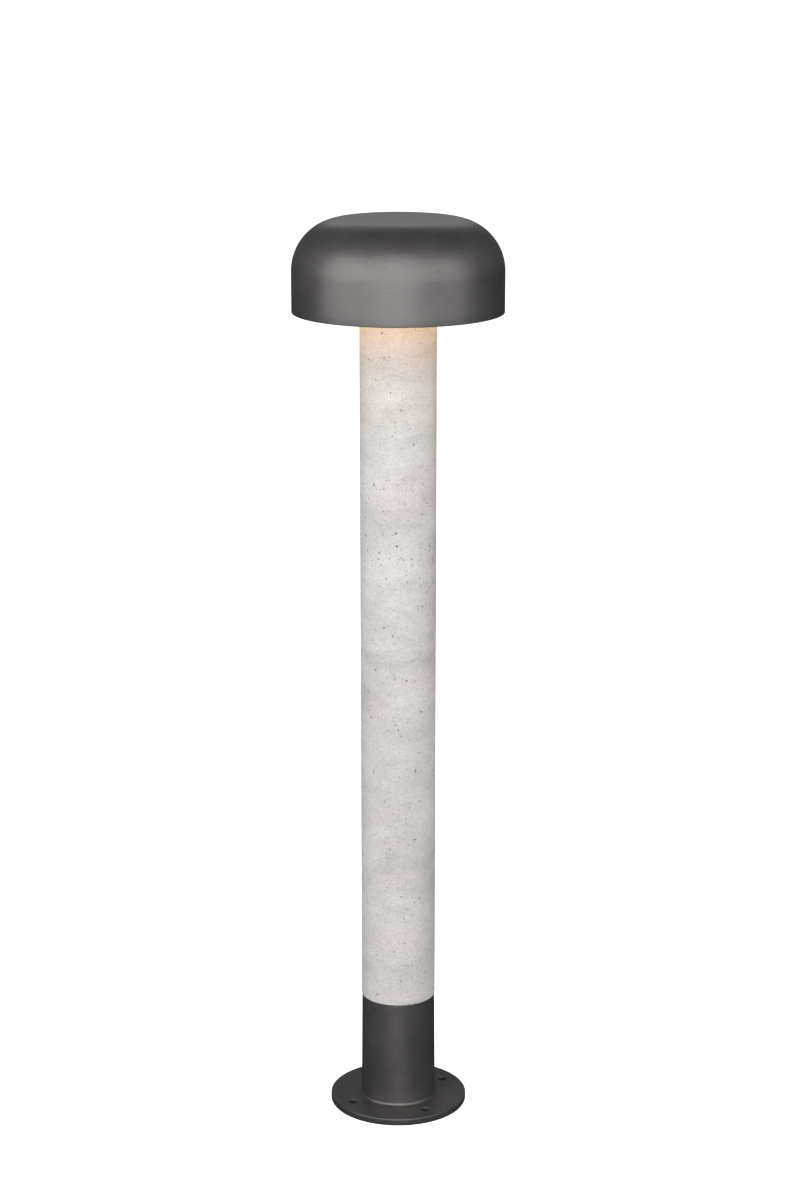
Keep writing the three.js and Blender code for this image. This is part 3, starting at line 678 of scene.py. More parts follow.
column_low, column_high = box_mm("concrete_column")
column_radius = (column_high[0] - column_low[0]) / 2
foot, top = column_low[2], column_high[2]
column_outline = rounded([(COLUMN_BORE_R, foot, 0), (column_radius, foot, ARRIS),
                          (column_radius, top, ARRIS), (COLUMN_BORE_R, top, 0)], 3)
column = turned("cast_column", column_outline, 192)
column.data.materials.append(concrete)

# %% Blowholes
draws = random.Random(41)


def lump(name):
    """A small rough ball, the shape of a trapped bubble, with few faces, because it is copied many times."""
    start()
    bpy.ops.mesh.primitive_ico_sphere_add(subdivisions=2, radius=1.0)
    ball = bpy.context.object
    ball.name = name
    bpy.ops.object.mode_set(mode="EDIT")
    bpy.ops.transform.vertex_random(offset=0.14, uniform=0.6, seed=7)
    bpy.ops.object.mode_set(mode="OBJECT")
    # The cut faces take this darker finish, which is painted shade inside each blowhole.
    ball.data.materials.append(blowhole)
    return ball


def scatter_places():
    """Place, half-width and angle of each blowhole, gathered loosely round busy patches, none touching."""
    patches = [(draws.uniform(0, 360), draws.uniform(foot, top)) for _ in range(26)]
    placed = []
    while len(placed) < BLOWHOLES:
        if draws.random() < 0.6:
            patch = draws.choice(patches)
            angle = patch[0] + draws.gauss(0, 20)
            height = patch[1] + draws.gauss(0, 18)
        else:
            angle = draws.uniform(0, 360)
            height = draws.uniform(foot, top)
        half = 0.34 + 0.62 * draws.random() ** 4
        if not foot + 4 < height < top - 4:
            continue
        x, y = polar(column_radius, angle)
        if all(math.dist((x, y, height), p[:3]) > 2.4 * (half + p[3]) for p in placed):
            placed.append((x, y, height, half, angle))
    return placed


# %% Cut the holes
ball = lump("bubble")
cutters = []


def place_cutter(x, y, z, angle, half_sizes, roll=0.0):
    """A copy of the ball at a place on the face, as deep, wide and tall as its three half-sizes say."""
    cutter = copied(ball, f"cutter_{len(cutters)}")
    size = Matrix.Diagonal([half * MM for half in half_sizes] + [1])
    lean = Matrix.Rotation(math.radians(angle), 4, "Z") @ Matrix.Rotation(roll, 4, "X")
    cutter.data.transform(Matrix.Translation(Vector((x, y, z)) * MM) @ lean @ size)
    cutters.append(cutter)


for x, y, z, half, angle in scatter_places():
    stretch = draws.uniform(1.0, 1.9)
    half_sizes = (draws.uniform(0.5, 0.8) * half, half, half * stretch)
    place_cutter(x, y, z, angle, half_sizes, draws.choice((0, math.pi / 2)) + draws.gauss(0, 0.5))
for i in range(CHIPS):
    angle = draws.uniform(0, 360)
    x, y = polar(column_radius + 0.3, angle)
    place_cutter(x, y, foot if i % 3 else top, angle, (1.1, draws.uniform(1.4, 3.0), draws.uniform(0.9, 1.4)))
bpy.data.objects.remove(ball)
print("blowholes and chips:", len(cutters))
boolean(column, gather(cutters, "bubbles"), "DIFFERENCE", "TRANSFER", tangled=True)
hand_over(column, "concrete_column", concrete)

# %% [markdown]
# ## The base casting
#
# A flat flange and a slightly tapered tube in one casting, with a small fillet where they meet and four
# plain holes for ground anchors. Its top has a recess for the gasket and a spigot that centres the column,
# and its underside is hollow. It is spun from one closed section, and the holes are cut afterwards.

# %% Base casting
FLANGE_R = 65.0
FLANGE_T = 6.0
TUBE_FOOT_R = 35.4
TUBE_TOP_R = 34.6
CAVITY_R = 30.6
SPIGOT_R = 20.6
CORE_HOLE_R = 13.8
WEB_T = 8.0
GASKET_R = 33.0
GASKET_T = 1.4
FILLET = 3.0
ANCHOR_CIRCLE_R = 50.0
ANCHOR_HOLE_R = 4.0
ANCHOR_START = 31.0
WEB_SCREW_HOLE_R = 1.8

base_top = foot - 0.3
spigot_top = box_mm("base_casting")[1][2]
web_under = base_top - WEB_T
base_outline = rounded([
    (CAVITY_R + 0.4, 0, 0.5), (FLANGE_R, 0, 0.5), (FLANGE_R, FLANGE_T, 0.9), (TUBE_FOOT_R, FLANGE_T, FILLET),
    (TUBE_TOP_R, base_top, 0.4), (GASKET_R, base_top, 0.3), (GASKET_R, base_top - GASKET_T, 0),
    (SPIGOT_R, base_top - GASKET_T, 0), (SPIGOT_R, spigot_top, 1.2), (CORE_HOLE_R, spigot_top, 0.4),
    (CORE_HOLE_R, web_under, 0.4), (CAVITY_R, web_under, 2.0)], 6)
base = turned("base_flange_and_tube", base_outline, 160)
print("base outline:", len(base_outline), "points")

# %% Holes in the base


def countersink(name, radius, bottom, top, chamfer, sides):
    """A cutter for a bore with a chamfer at both mouths, which are at the heights bottom and top."""
    wide = radius + 1.4
    return turned(name, [(0, bottom - 1), (wide, bottom - 1), (radius, bottom + chamfer),
                         (radius, top - chamfer), (wide, top + 1), (0, top + 1)], sides, closed=False)


for i in range(4):
    cutter = countersink("drill", ANCHOR_HOLE_R, 0, FLANGE_T, 0.45, 48)
    boolean(base, shifted(cutter, *polar(ANCHOR_CIRCLE_R, ANCHOR_START + 90 * i)), "DIFFERENCE")
for node in ("clip_screw", "earth_screw"):
    drill(base, WEB_SCREW_HOLE_R, web_under - 1, box_mm(node)[1][2] + 0.5, [plan(node)])
hand_over(base, "base_casting", graphite_coat)

# %% [markdown]
# ## Screws
#
# Every screw is a small turned part: a cap head with a rounded rim and a hexagon socket, and a threaded
# shank. A true thread is a helix, but at three or four millimetres across it reads the same as a row of
# ridges, which can be turned in one go with the head. Each kind is modelled once, head down with its seat
# at height zero, and copied to the frame's places. Screws never stop at the same angle, so each copy gets a
# turn of its own.

# %% Thread and screw
screw_turns = random.Random(11)


def thread(radius, depth, pitch, bottom, top):
    """The ridges of a thread, from the bottom up."""
    count = int((top - bottom) / pitch)
    ridges = []
    for i in range(count):
        z = bottom + i * pitch
        ridges += [(radius - depth, z), (radius, z + pitch * 0.35), (radius, z + pitch * 0.55)]
    return ridges + [(radius - depth, bottom + count * pitch)]


def screw(kind, node, shank_r, head_h, pitch):
    """Head down under height zero, as long and as wide in the head as one of the frame's screws."""
    low, high = box_mm(node)
    head_r = (high[0] - low[0]) / 2
    length = high[2] - low[2] - head_h
    head = rounded([(0, -head_h, 0), (head_r, -head_h, min(0.5, head_h / 3)), (head_r, 0, 0.15),
                    (shank_r * 0.85, 0, 0)], 3)
    shank = thread(shank_r, shank_r * 0.15, pitch, 0.3, length - 0.7)
    model = turned(kind, head + shank + [(shank_r * 0.6, length), (0, length)], 28, closed=False)
    start()
    bpy.ops.mesh.primitive_cylinder_add(vertices=6, radius=head_r * 0.56 * MM, depth=head_h * 1.3 * MM,
                                        location=(0, 0, -head_h * MM))
    apply_place(bpy.context.object)
    boolean(model, bpy.context.object, "DIFFERENCE")
    return model


def drive(model, nodes, head_h, head_up):
    """Copies a screw to each node's place, head up and shank down or the other way up."""
    for node in nodes:
        low, high = box_mm(node)
        one = copied(model, node + "_turned", turn=screw_turns.uniform(0, math.pi))
        if head_up:
            one.data.transform(Matrix.Rotation(math.pi, 4, "X"))
        shifted(one, *plan(node), high[2] - head_h if head_up else low[2] + head_h)
        hand_over(one, node, stainless)
    bpy.data.objects.remove(model)


# %% All the screws
M3_R, M3_PITCH = 1.5, 0.5
M4_R, M4_PITCH = 2.0, 0.7
TAPPED_R = M3_R + 0.1
CLEARANCE_R = M3_R + 0.2

for kind, nodes, shank_r, pitch, head_h, head_up in (
        ("cap_screw", numbered("cap_screw", 3), M4_R, M4_PITCH, 3.4, False),
        ("bezel_screw", numbered("bezel_screw", 6), M3_R, M3_PITCH, 2.0, False),
        ("board_screw", numbered("board_screw", 3), M3_R, M3_PITCH, 1.8, False),
        ("driver_screw", numbered("driver_screw", 2), M3_R, M3_PITCH, 2.0, True),
        ("terminal_screw", numbered("terminal_screw", 2), M3_R, M3_PITCH, 2.0, True),
        ("clip_screw", ["clip_screw"], M3_R, M3_PITCH, 1.8, False),
        ("earth_screw", ["earth_screw"], M3_R, M3_PITCH, 2.0, False)):
    drive(screw(kind, nodes[0], shank_r, head_h, pitch), nodes, head_h, head_up)

# %% [markdown]
# ## Core tube, nuts and washers
#
# One threaded steel tube runs up through base, column and head, and a nut at each end clamps them together.
# The tube is turned with threads only at its ends. A nut is a hexagonal bar whose corners are turned down
# to a cone, and that is how it is made here: a six-sided prism, kept only where it overlaps a turned lens.

# %% Core tube
CORE_R = 13.45
CORE_BORE_R = 11.15
CORE_PITCH = 1.5
CORE_THREAD_DEPTH = 0.6
THREAD_LENGTH = 13.0

tube_low, tube_high = box_mm("core_tube")
foot_z, mouth_z = tube_low[2], tube_high[2]
outside = [(CORE_BORE_R + 0.5, foot_z)]
outside += thread(CORE_R, CORE_THREAD_DEPTH, CORE_PITCH, foot_z + 0.4, foot_z + THREAD_LENGTH)
outside += [(CORE_R, foot_z + THREAD_LENGTH + 1), (CORE_R, mouth_z - THREAD_LENGTH - 1)]
outside += thread(CORE_R, CORE_THREAD_DEPTH, CORE_PITCH, mouth_z - THREAD_LENGTH, mouth_z - 0.8)
outside += [(CORE_BORE_R + 0.5, mouth_z), (CORE_BORE_R, mouth_z - 0.5), (CORE_BORE_R, foot_z + 0.5)]
core_tube = turned("core_tube_turned", outside, 72)
hand_over(core_tube, "core_tube", zinc_plate)

# %% Locknuts and washers
NUT_BORE_R = CORE_R + 0.15


def locknut(name, node):
    """A hexagonal nut with its corners turned down, whose width across corners lies along X."""
    low, high = box_mm(node)
    corner_r, flat_r, bottom, top = high[0], high[1], low[2], high[2]
    start()
    bpy.ops.mesh.primitive_cylinder_add(
        vertices=6, radius=corner_r * MM, depth=(top - bottom) * MM,
        location=(0, 0, (bottom + top) / 2 * MM), rotation=(0, 0, math.pi / 6))
    apply_place(bpy.context.object)
    nut = bpy.context.object
    nut.name = nut.data.name = name
    cone = corner_r - flat_r + 0.4
    rise = cone * math.tan(math.radians(30))
    lens = [(0, bottom), (corner_r - cone, bottom), (corner_r + 0.2, bottom + rise),
            (corner_r + 0.2, top - rise), (corner_r - cone, top), (0, top)]
    boolean(nut, turned("lens", lens, 96, closed=False), "INTERSECT")
    boolean(nut, countersink("bore", NUT_BORE_R, bottom, top, 0.4, 72), "DIFFERENCE")
    hand_over(nut, node, zinc_plate)


def flat_ring(name, node, inner_r, foot_edge, top_edge, sides=96, steps=3):
    """A flat ring with rounded edges, as tall and as wide as the node that it stands for."""
    low, high = box_mm(node)
    return turned(name, rounded([(inner_r, low[2], foot_edge), (high[0], low[2], foot_edge),
                                 (high[0], high[2], top_edge), (inner_r, high[2], top_edge)], steps), sides)


for node in ("lower_locknut", "upper_locknut"):
    locknut(node + "_hexagon", node)
for node in ("lower_washer", "upper_washer"):
    hand_over(flat_ring(node + "_pressed", node, CORE_R + 0.3, 0.35, 0.35), node, zinc_plate)

# %% [markdown]
# ## Gaskets, seals and bushes
#
# Rubber rings close every joint. The two flat gaskets are stamped from sheet, so they are plain with a
# slight round. The silicone seals have a bead on each face that squashes flat, and the bushes have a lip
# that stands on the tube's mouth and a rounded mouth of their own, so that the lead doesn't chafe.

# %% Gaskets and seals
GASKET_EDGE = 0.25
BEAD = 0.3

for node, inner_r in (("foot_gasket", SPIGOT_R + 0.3), ("head_gasket", 22.0)):
    hand_over(flat_ring(node + "_cut", node, inner_r, GASKET_EDGE, GASKET_EDGE, 128), node, rubber)


def beaded_seal(node, inner_r):
    """A flat seal with a low bead round the middle of each face."""
    low, high = box_mm(node)
    outer_r, bottom, top = high[0], low[2], high[2]
    middle = (inner_r + outer_r) / 2
    outline = [(inner_r, bottom + BEAD), (middle - 0.5, bottom + BEAD), (middle, bottom),
               (middle + 0.5, bottom + BEAD), (outer_r, bottom + BEAD), (outer_r, top - BEAD),
               (middle + 0.5, top - BEAD), (middle, top), (middle - 0.5, top - BEAD), (inner_r, top - BEAD)]
    hand_over(turned(node + "_beaded", outline, 160), node, silicone, angle=50)


beaded_seal("outer_seal", 76.3)
beaded_seal("inner_seal", 38.0)

# %% Bushes
LEAD_R = 2.5
THIN_LEAD_R = 1.5


def bush(node, lead_r, body_r, lip_t, sides, lip_down=False):
    """A turned bush: a round body that fills the hole, and a lip with a rounded mouth for the lead."""
    low, high = box_mm(node)
    end, top = (-high[2], -low[2]) if lip_down else (low[2], high[2])
    hole_r, lip_r, lip = lead_r + 0.2, (high[0] - low[0]) / 2, top - lip_t
    made = turned(node + "_moulded", rounded([
        (hole_r, end, 0.3), (body_r - 0.6, end, 0.3), (body_r, end + 1.5, 0), (body_r, lip, 0),
        (lip_r, lip, 0.2), (lip_r, top, 0.6), (hole_r, top, 0.5)], 3), sides)
    if lip_down:
        made.data.transform(Matrix.Rotation(math.pi, 4, "X"))
    hand_over(shifted(made, *plan(node)), node, rubber)


bush("upper_bush", LEAD_R, CORE_BORE_R - 0.2, 2.0, 64)
bush("lower_bush", LEAD_R, CORE_BORE_R - 0.2, 2.0, 64, lip_down=True)
bush("board_bush", THIN_LEAD_R, 3.2, 1.6, 40)

# %% [markdown]
# ## Connector in the base
#
# The ground cable ends in a sealed plug that hangs inside the base. It is a nylon barrel with a ribbed
# grip, and a gland nut with finger flutes screws on from below. A bent stainless strap holds it to the web.
# The barrel and nut are turned. The ribs are joined on and the flutes cut away, each from one rod copied
# round a circle.

# %% Rods round a circle


def rods_round(count, circle_r, radius, bottom, top, x, sides=16):
    """One object of equal upright rods on a circle whose centre is at x."""
    first = rod(radius, bottom, top, x + circle_r, 0, sides)
    rods = [first]
    for i in range(1, count):
        dx, dy = polar(circle_r, 360 * i / count)
        rods.append(copied(first, f"rod_{i}", ((dx - circle_r) * MM, dy * MM, 0)))
    return gather(rods, "rods")


# %% Connector and gland nut
BARREL_R = 10.9
NECK_R = 7.5
RIB_R = 0.9
RIBS = 20
FLUTES = 9
FLUTE_R = 2.0
CABLE_HOLE_R = 4.0

low, high = box_mm("connector_body")
plug_x, plug_r, plug_foot, plug_top = (low[0] + high[0]) / 2, high[1], low[2], high[2]
barrel = turned("connector_barrel", rounded([
    (0, plug_foot, 0), (NECK_R, plug_foot, 0.3), (NECK_R, plug_foot + 6, 0.2), (BARREL_R, plug_foot + 7, 0.8),
    (BARREL_R, plug_top - 27.5, 0.2), (plug_r, plug_top - 27, 0.2), (plug_r, plug_top - 16, 0.3),
    (BARREL_R, plug_top - 15.5, 0.2), (BARREL_R, plug_top - 12, 0.8), (9, plug_top - 10, 0.4),
    (9, plug_top - 3, 0.8), (5, plug_top, 0.5), (0, plug_top, 0)], 3), 72, closed=False)
shifted(barrel, plug_x, 0)
ribs = rods_round(RIBS, plug_r - RIB_R, RIB_R, plug_foot + 8, plug_top - 28, plug_x)
boolean(barrel, ribs, "UNION")
hand_over(barrel, "connector_body", nylon)

low, high = box_mm("connector_gland_nut")
gland_r, gland_foot, gland_top = high[1], low[2], high[2]
gland = turned("gland_nut_fluted", rounded([
    (CABLE_HOLE_R, gland_foot, 0.5), (gland_r - 2.4, gland_foot, 1.0), (gland_r, gland_foot + 3, 0.8),
    (gland_r, gland_top, 0.5), (NECK_R + 0.2, gland_top, 0.2), (NECK_R + 0.2, plug_foot - 0.2, 0),
    (CABLE_HOLE_R, plug_foot - 0.2, 0)], 3), 72)
shifted(gland, plug_x, 0)
flutes = rods_round(FLUTES, gland_r + 0.9, FLUTE_R, gland_foot + 4.5, gland_top + 2, plug_x, 24)
boolean(gland, flutes, "DIFFERENCE")
hand_over(gland, "connector_gland_nut", nylon)

# %% Clip
CLIP_T = 1.6
CLIP_W = 8.0
HOOP_H = 9.0


def bar(name, low, high):
    """A plain bar between two corners in millimetres."""
    start()
    size = [(b - a) * MM for a, b in zip(low, high)]
    centre = [(a + b) / 2 * MM for a, b in zip(low, high)]
    bpy.ops.mesh.primitive_cube_add(size=1, location=centre)
    made = bpy.context.object
    made.name = made.data.name = name
    made.scale = size
    apply_place(made)
    return made


low, high = box_mm("connector_clip")
hoop_in, hoop_out = plug_r + 0.3, high[1]
hoop = turned("clip_bent_strip", rounded([
    (hoop_in, low[2], 0.3), (hoop_out, low[2], 0.3), (hoop_out, low[2] + HOOP_H, 0.3),
    (hoop_in, low[2] + HOOP_H, 0.3)], 3), 72)
shifted(hoop, plug_x, 0)
strap_x = plug_x - hoop_out
strap = bar("strap", (strap_x - CLIP_T / 2, -CLIP_W / 2, low[2]), (strap_x + CLIP_T / 2, CLIP_W / 2, high[2]))
boolean(strap, bar("foot", (low[0], -CLIP_W / 2, high[2] - CLIP_T),
                   (strap_x + CLIP_T / 2, CLIP_W / 2, high[2])), "UNION")
soften(strap, 0.3, 60)
boolean(hoop, strap, "UNION")
drill(hoop, CLEARANCE_R, high[2] - 3, high[2] + 1, [plan("clip_screw")])
hand_over(hoop, "connector_clip", stainless)

# %% [markdown]
# ## The head casting
#
# Under the cap sits one ring casting. Its outer skirt holds the diffuser, its inner skirt stands round the
# column, and between them is the bay for the LEDs. The heat leaves by twelve short fins on top, and three
# lugs carry the cap. The rings are turned from one section with cast radii, then lugs and fins are joined
# on and all the screw holes drilled.

# %% Head casting: turned section
SKIRT_IN_R, SKIRT_OUT_R = 76.0, 84.0
REBATE_R = 78.4
HUB_IN_R, HUB_OUT_R = 37.5, 41.0
HUB_SPIGOT_R = 20.6
PLATE_T = 5.0
LUG_R = 4.4
LUG_CIRCLE_R = 87.6
FINS = 12
FIN_IN_R, FIN_OUT_R = 65.0, 82.0
FIN_T = 2.4

head_low, head_high = box_mm("head_casting")
seat_z = plate_top - PLATE_T
step_z = seat_z - 16.8
head = turned("head_ring_cast", rounded([
    (CORE_HOLE_R, step_z, 0.4), (HUB_SPIGOT_R, step_z, 0.8), (HUB_SPIGOT_R, seat_z, 1.0),
    (HUB_IN_R, seat_z, 1.5), (HUB_IN_R, step_z, 0.4), (HUB_OUT_R, step_z, 0.4), (HUB_OUT_R, seat_z, 0.3),
    (SKIRT_IN_R, seat_z, 0.3), (SKIRT_IN_R, step_z, 0.3), (REBATE_R, step_z, 0.3),
    (REBATE_R, head_low[2], 0.4), (SKIRT_OUT_R, head_low[2], 0.5), (SKIRT_OUT_R, plate_top, 1.2),
    (CORE_HOLE_R, plate_top, 0.4)], 4), 160)

# %% Lugs and fins
for x, y in lug_places:
    angle = math.degrees(math.atan2(y, x))
    lug = bar("lug", (SKIRT_OUT_R - 7, -LUG_R, seat_z + 0.2), (LUG_CIRCLE_R + LUG_R, LUG_R, plate_top - 0.2))
    round_upright_edges(lug, LUG_R * 0.97, 8)
    soften(lug, 0.6, 60)
    lug.data.transform(Matrix.Rotation(math.radians(angle), 4, "Z"))
    boolean(head, lug, "UNION")


def cooling_fin():
    """A thin upright fin that leans in towards its top, with its upper edges rounded."""
    fin = bar("fin", (FIN_IN_R, -FIN_T / 2, plate_top - 0.8), (FIN_OUT_R, FIN_T / 2, head_high[2]))
    pick(fin, lambda face: face.normal.z > 0.9)
    middle = Vector(((FIN_IN_R + FIN_OUT_R) / 2, 0, head_high[2])) * MM
    bpy.ops.transform.resize(value=(0.86, 0.72, 1), center_override=middle)
    bpy.ops.mesh.bevel(offset=0.7 * MM, segments=3)
    bpy.ops.object.mode_set(mode="OBJECT")
    return fin


fin = cooling_fin()
fins = [copied(fin, f"fin_{i}", turn=math.radians(15 + 360 / FINS * i)) for i in range(FINS)]
bpy.data.objects.remove(fin)
boolean(head, gather(fins, "fins"), "UNION")

# %% Holes in the head
BEZEL_SCREW_CIRCLE_R = 81.2

bezel_places = [polar(BEZEL_SCREW_CIRCLE_R, 60 * i) for i in range(6)]
board_places = [plan(node) for node in numbered("board_screw", 3)]
driver_places = [plan(node) for node in numbered("driver_screw", 2)]
terminal_places = [plan(node) for node in numbered("terminal_screw", 2)]

drill(head, CAP_SCREW_HOLE_R, seat_z - 1, plate_top + 1, lug_places)
drill(head, TAPPED_R, head_low[2] - 1, head_low[2] + 7, bezel_places, 20)
drill(head, TAPPED_R, seat_z - 1, seat_z + 3.2, board_places)
drill(head, 3.4, seat_z - 1, plate_top + 1, [plan("board_bush")])
drill(head, TAPPED_R, seat_z + 1.5, plate_top + 1.5, driver_places)
drill(head, TAPPED_R, seat_z + 2.5, plate_top + 2.5, terminal_places)
hand_over(head, "head_casting", cast_aluminium)

# %% [markdown]
# ## The light engine
#
# A ring of LEDs on a white board faces down, between two white cones that throw the light out and down.
# Each LED is a small white tray, with a window of phosphor sunk into it. The tray is one cube: its
# underside is inset and pushed in, and the new face at the bottom of the dish gets the phosphor.

# %% Board and reflectors
BOARD_IN_R = 44.0
REFLECTOR_T = 1.0

low, high = box_mm("led_board")
board = flat_ring("led_board_ring", "led_board", BOARD_IN_R, 0.2, 0.2, 160, 2)
drill(board, CLEARANCE_R, low[2] - 1, high[2] + 1, board_places)
hand_over(board, "led_board", board_mask)


def reflector(node, foot_r, top_r):
    """A thin cone with rounded edges, between the radii of its inner face."""
    low, high = box_mm(node)
    outline = [(foot_r, low[2], 0.35), (foot_r + REFLECTOR_T, low[2], 0.35),
               (top_r + REFLECTOR_T, high[2], 0.35), (top_r, high[2], 0.35)]
    hand_over(turned(node + "_cone", rounded(outline, 3), 160), node, white_polyester, angle=40)


reflector("outer_reflector", 74.4, 68.5)
reflector("inner_reflector", 41.5, 46.5)

# %% LEDs
TRAY_WALL = 0.6
TRAY_DEPTH = 0.3

low, high = box_mm("led_1")
led_half, led_h = (high[1] - low[1]) / 2, high[2] - low[2]
tray = bar("led_tray", (-led_half, -led_half, 0), (led_half, led_half, led_h))
tray.data.materials.append(white_polyester)
tray.data.materials.append(phosphor)
pick(tray, lambda face: face.normal.z < -0.9)
bpy.ops.mesh.inset(thickness=TRAY_WALL * MM)
bpy.ops.transform.translate(value=(0, 0, TRAY_DEPTH * MM))
tray.active_material_index = 1
bpy.ops.object.material_slot_assign()
bpy.ops.object.mode_set(mode="OBJECT")
soften(tray, 0.12, 60, 2)
for i, node in enumerate(numbered("led", 12)):
    one = copied(tray, node + "_tray", turn=math.radians(30 * i))
    hand_over(shifted(one, *plan(node), box_mm(node)[0][2]), node, phosphor)
bpy.data.objects.remove(tray)

# %% [markdown]
# ## Diffuser and bezel
#
# A flat ring of opal acrylic closes the lamp from below, and a coated bezel holds it up with six screws.
# Both are rings with rounded edges, so both are spun, and the bezel is then drilled.

# %% Diffuser and bezel
DIFFUSER_IN_R = 38.0
BEZEL_IN_R = 71.0

hand_over(flat_ring("opal_ring", "diffuser", DIFFUSER_IN_R, 0.4, 0.3, 128), "diffuser", opal)
low, high = box_mm("bezel")
bezel = flat_ring("bezel_ring", "bezel", BEZEL_IN_R, 0.9, 0.3, 160, 4)
drill(bezel, CLEARANCE_R, low[2] - 1, high[2] + 1, bezel_places)
hand_over(bezel, "bezel", graphite_coat)

# %% [markdown]
# ## Driver and terminals
#
# On top of the plate, under the cap, stand the driver and the terminal block. The driver is a nylon case
# filled with potting, so its top is a tray with a raised rim, and it is screwed down by an ear at each end.
# The terminal block is a polyester moulding with a step for its fixing screws, and a funnel where the lead
# goes in.

# %% Driver
EAR_T = 3.0
EAR_HALF = 6.0
CASE_WALL = 1.8
POTTING_DEPTH = 1.2
COLLAR_R = 2.6
COLLAR_L = 2.4


def collar(x, y, z, turn_axis):
    """A short collar round a thin lead: an upright rod laid down by a quarter turn about X or Y."""
    made = rod(COLLAR_R, -COLLAR_L / 2, COLLAR_L / 2, sides=24)
    made.data.transform(Matrix.Rotation(math.pi / 2, 4, turn_axis))
    soften(shifted(made, x, y, z), 0.3, 60)
    return made


low, high = box_mm("driver")
case_y = high[1] - 8
driver = bar("driver_case", (low[0], -case_y, low[2]), (high[0], case_y, high[2]))
round_upright_edges(driver, 3)
pick(driver, lambda face: face.normal.z > 0.9)
bpy.ops.mesh.inset(thickness=CASE_WALL * MM)
bpy.ops.mesh.extrude_region_move(TRANSFORM_OT_translate={"value": (0, 0, -POTTING_DEPTH * MM)})
bpy.ops.object.mode_set(mode="OBJECT")
soften(driver, 0.45, 50, 3)
centre_x = (low[0] + high[0]) / 2
ears = bar("ears", (centre_x - EAR_HALF, low[1], low[2]), (centre_x + EAR_HALF, high[1], low[2] + EAR_T))
round_upright_edges(ears, 4, 6)
soften(ears, 0.4, 60)
boolean(driver, ears, "UNION")
drill(driver, CLEARANCE_R, low[2] - 1, low[2] + EAR_T + 1, driver_places)
lead_z = box_mm("driver_lead")[0][2] + THIN_LEAD_R
boolean(driver, collar(low[0], 18, lead_z, "Y"), "UNION")
boolean(driver, collar(plan("board_lead")[0], -case_y, lead_z, "X"), "UNION")
hand_over(driver, "driver", nylon)

# %% Terminal block
STEP_H = 9.0
STEP_W = 7.5
FUNNEL_DEPTH = 6.0
LEAD_IN_X = -30.0
WIRE_SCREW_HOLE_R = 1.9
WIRE_SCREW_Y = 9.5

low, high = box_mm("terminal_block")
block = bar("terminal_block_moulded", (low[0], low[1], low[2]), (low[0] + STEP_W, high[1], low[2] + STEP_H))
pick(block, lambda face: face.normal.x > 0.9)
bpy.ops.mesh.extrude_region_move(TRANSFORM_OT_translate={"value": ((high[0] - low[0] - STEP_W) * MM, 0, 0)})
bpy.ops.object.mode_set(mode="OBJECT")
pick(block, lambda face: face.normal.z > 0.9 and face.center.x > (low[0] + STEP_W) * MM)
bpy.ops.mesh.extrude_region_move(TRANSFORM_OT_translate={"value": (0, 0, (high[2] - low[2] - STEP_H) * MM)})
bpy.ops.mesh.select_all(action="SELECT")
bpy.ops.mesh.normals_make_consistent(inside=False)
bpy.ops.object.mode_set(mode="OBJECT")
soften(block, 0.7, 50, 3)
block.data.materials.append(white_polyester)
funnel_foot = high[2] - FUNNEL_DEPTH
funnel = turned("funnel", [(0, funnel_foot), (LEAD_R + 0.2, funnel_foot), (LEAD_R + 0.2, high[2] - 1.2),
                           (LEAD_R + 1.4, high[2] + 0.5), (0, high[2] + 0.5)], 40, closed=False)
boolean(block, shifted(funnel, LEAD_IN_X, 0), "DIFFERENCE")
wire_screw_places = [(LEAD_IN_X, side * WIRE_SCREW_Y) for side in (-1, 1)]
drill(block, WIRE_SCREW_HOLE_R, high[2] - 5, high[2] + 1, wire_screw_places)
drill(block, CLEARANCE_R, low[2] - 1, low[2] + STEP_H + 1, terminal_places)
hand_over(block, "terminal_block", white_polyester)

# %% [markdown]
# ## Leads
#
# Three leads, all held at both ends, so their shapes are fixed. The supply lead comes up from the
# connector, through the core tube and over in an arch to the terminals. Two thin leads go from there round
# the nut to the driver, and from the driver down to the board. Each is a curve through the places that it
# must pass, given a round section and made a mesh.

# %% Leads
LEAD_STRAIGHT_Z = 84.0  # from this height up, the supply lead runs on the axis
BEND_R = 5.0


def lead(node, radius, points):
    """A round lead along a smooth curve through points in millimetres."""
    start()
    bpy.ops.curve.primitive_bezier_curve_add(location=(0, 0, 0))
    wire = bpy.context.object
    wire.name = wire.data.name = node + "_smooth"
    wire.data.dimensions = "3D"
    spline = wire.data.splines[0]
    spline.bezier_points.add(len(points) - 2)
    for knot, point in zip(spline.bezier_points, points):
        knot.co = Vector(point) * MM
        knot.handle_left_type = knot.handle_right_type = "AUTO"
    wire.data.resolution_u = 5
    wire.data.bevel_depth = radius * MM
    wire.data.bevel_resolution = 5
    wire.data.use_fill_caps = True
    choose(wire)
    bpy.ops.object.convert(target="MESH")
    made = bpy.context.object
    bpy.ops.object.mode_set(mode="EDIT")
    bpy.ops.mesh.select_all(action="SELECT")
    bpy.ops.mesh.remove_doubles(threshold=0.002 * MM)
    bpy.ops.mesh.normals_make_consistent(inside=False)
    apply_place(made)
    hand_over(made, node, rubber, angle=50)


def s_bend(x_from, x_to, z_from, z_to, steps=8):
    """Points on a smooth S from one upright line to another."""
    bend = []
    for i in range(steps + 1):
        t = i / steps
        bend.append((x_from + (x_to - x_from) * t * t * (3 - 2 * t), 0, z_from + (z_to - z_from) * t))
    return bend


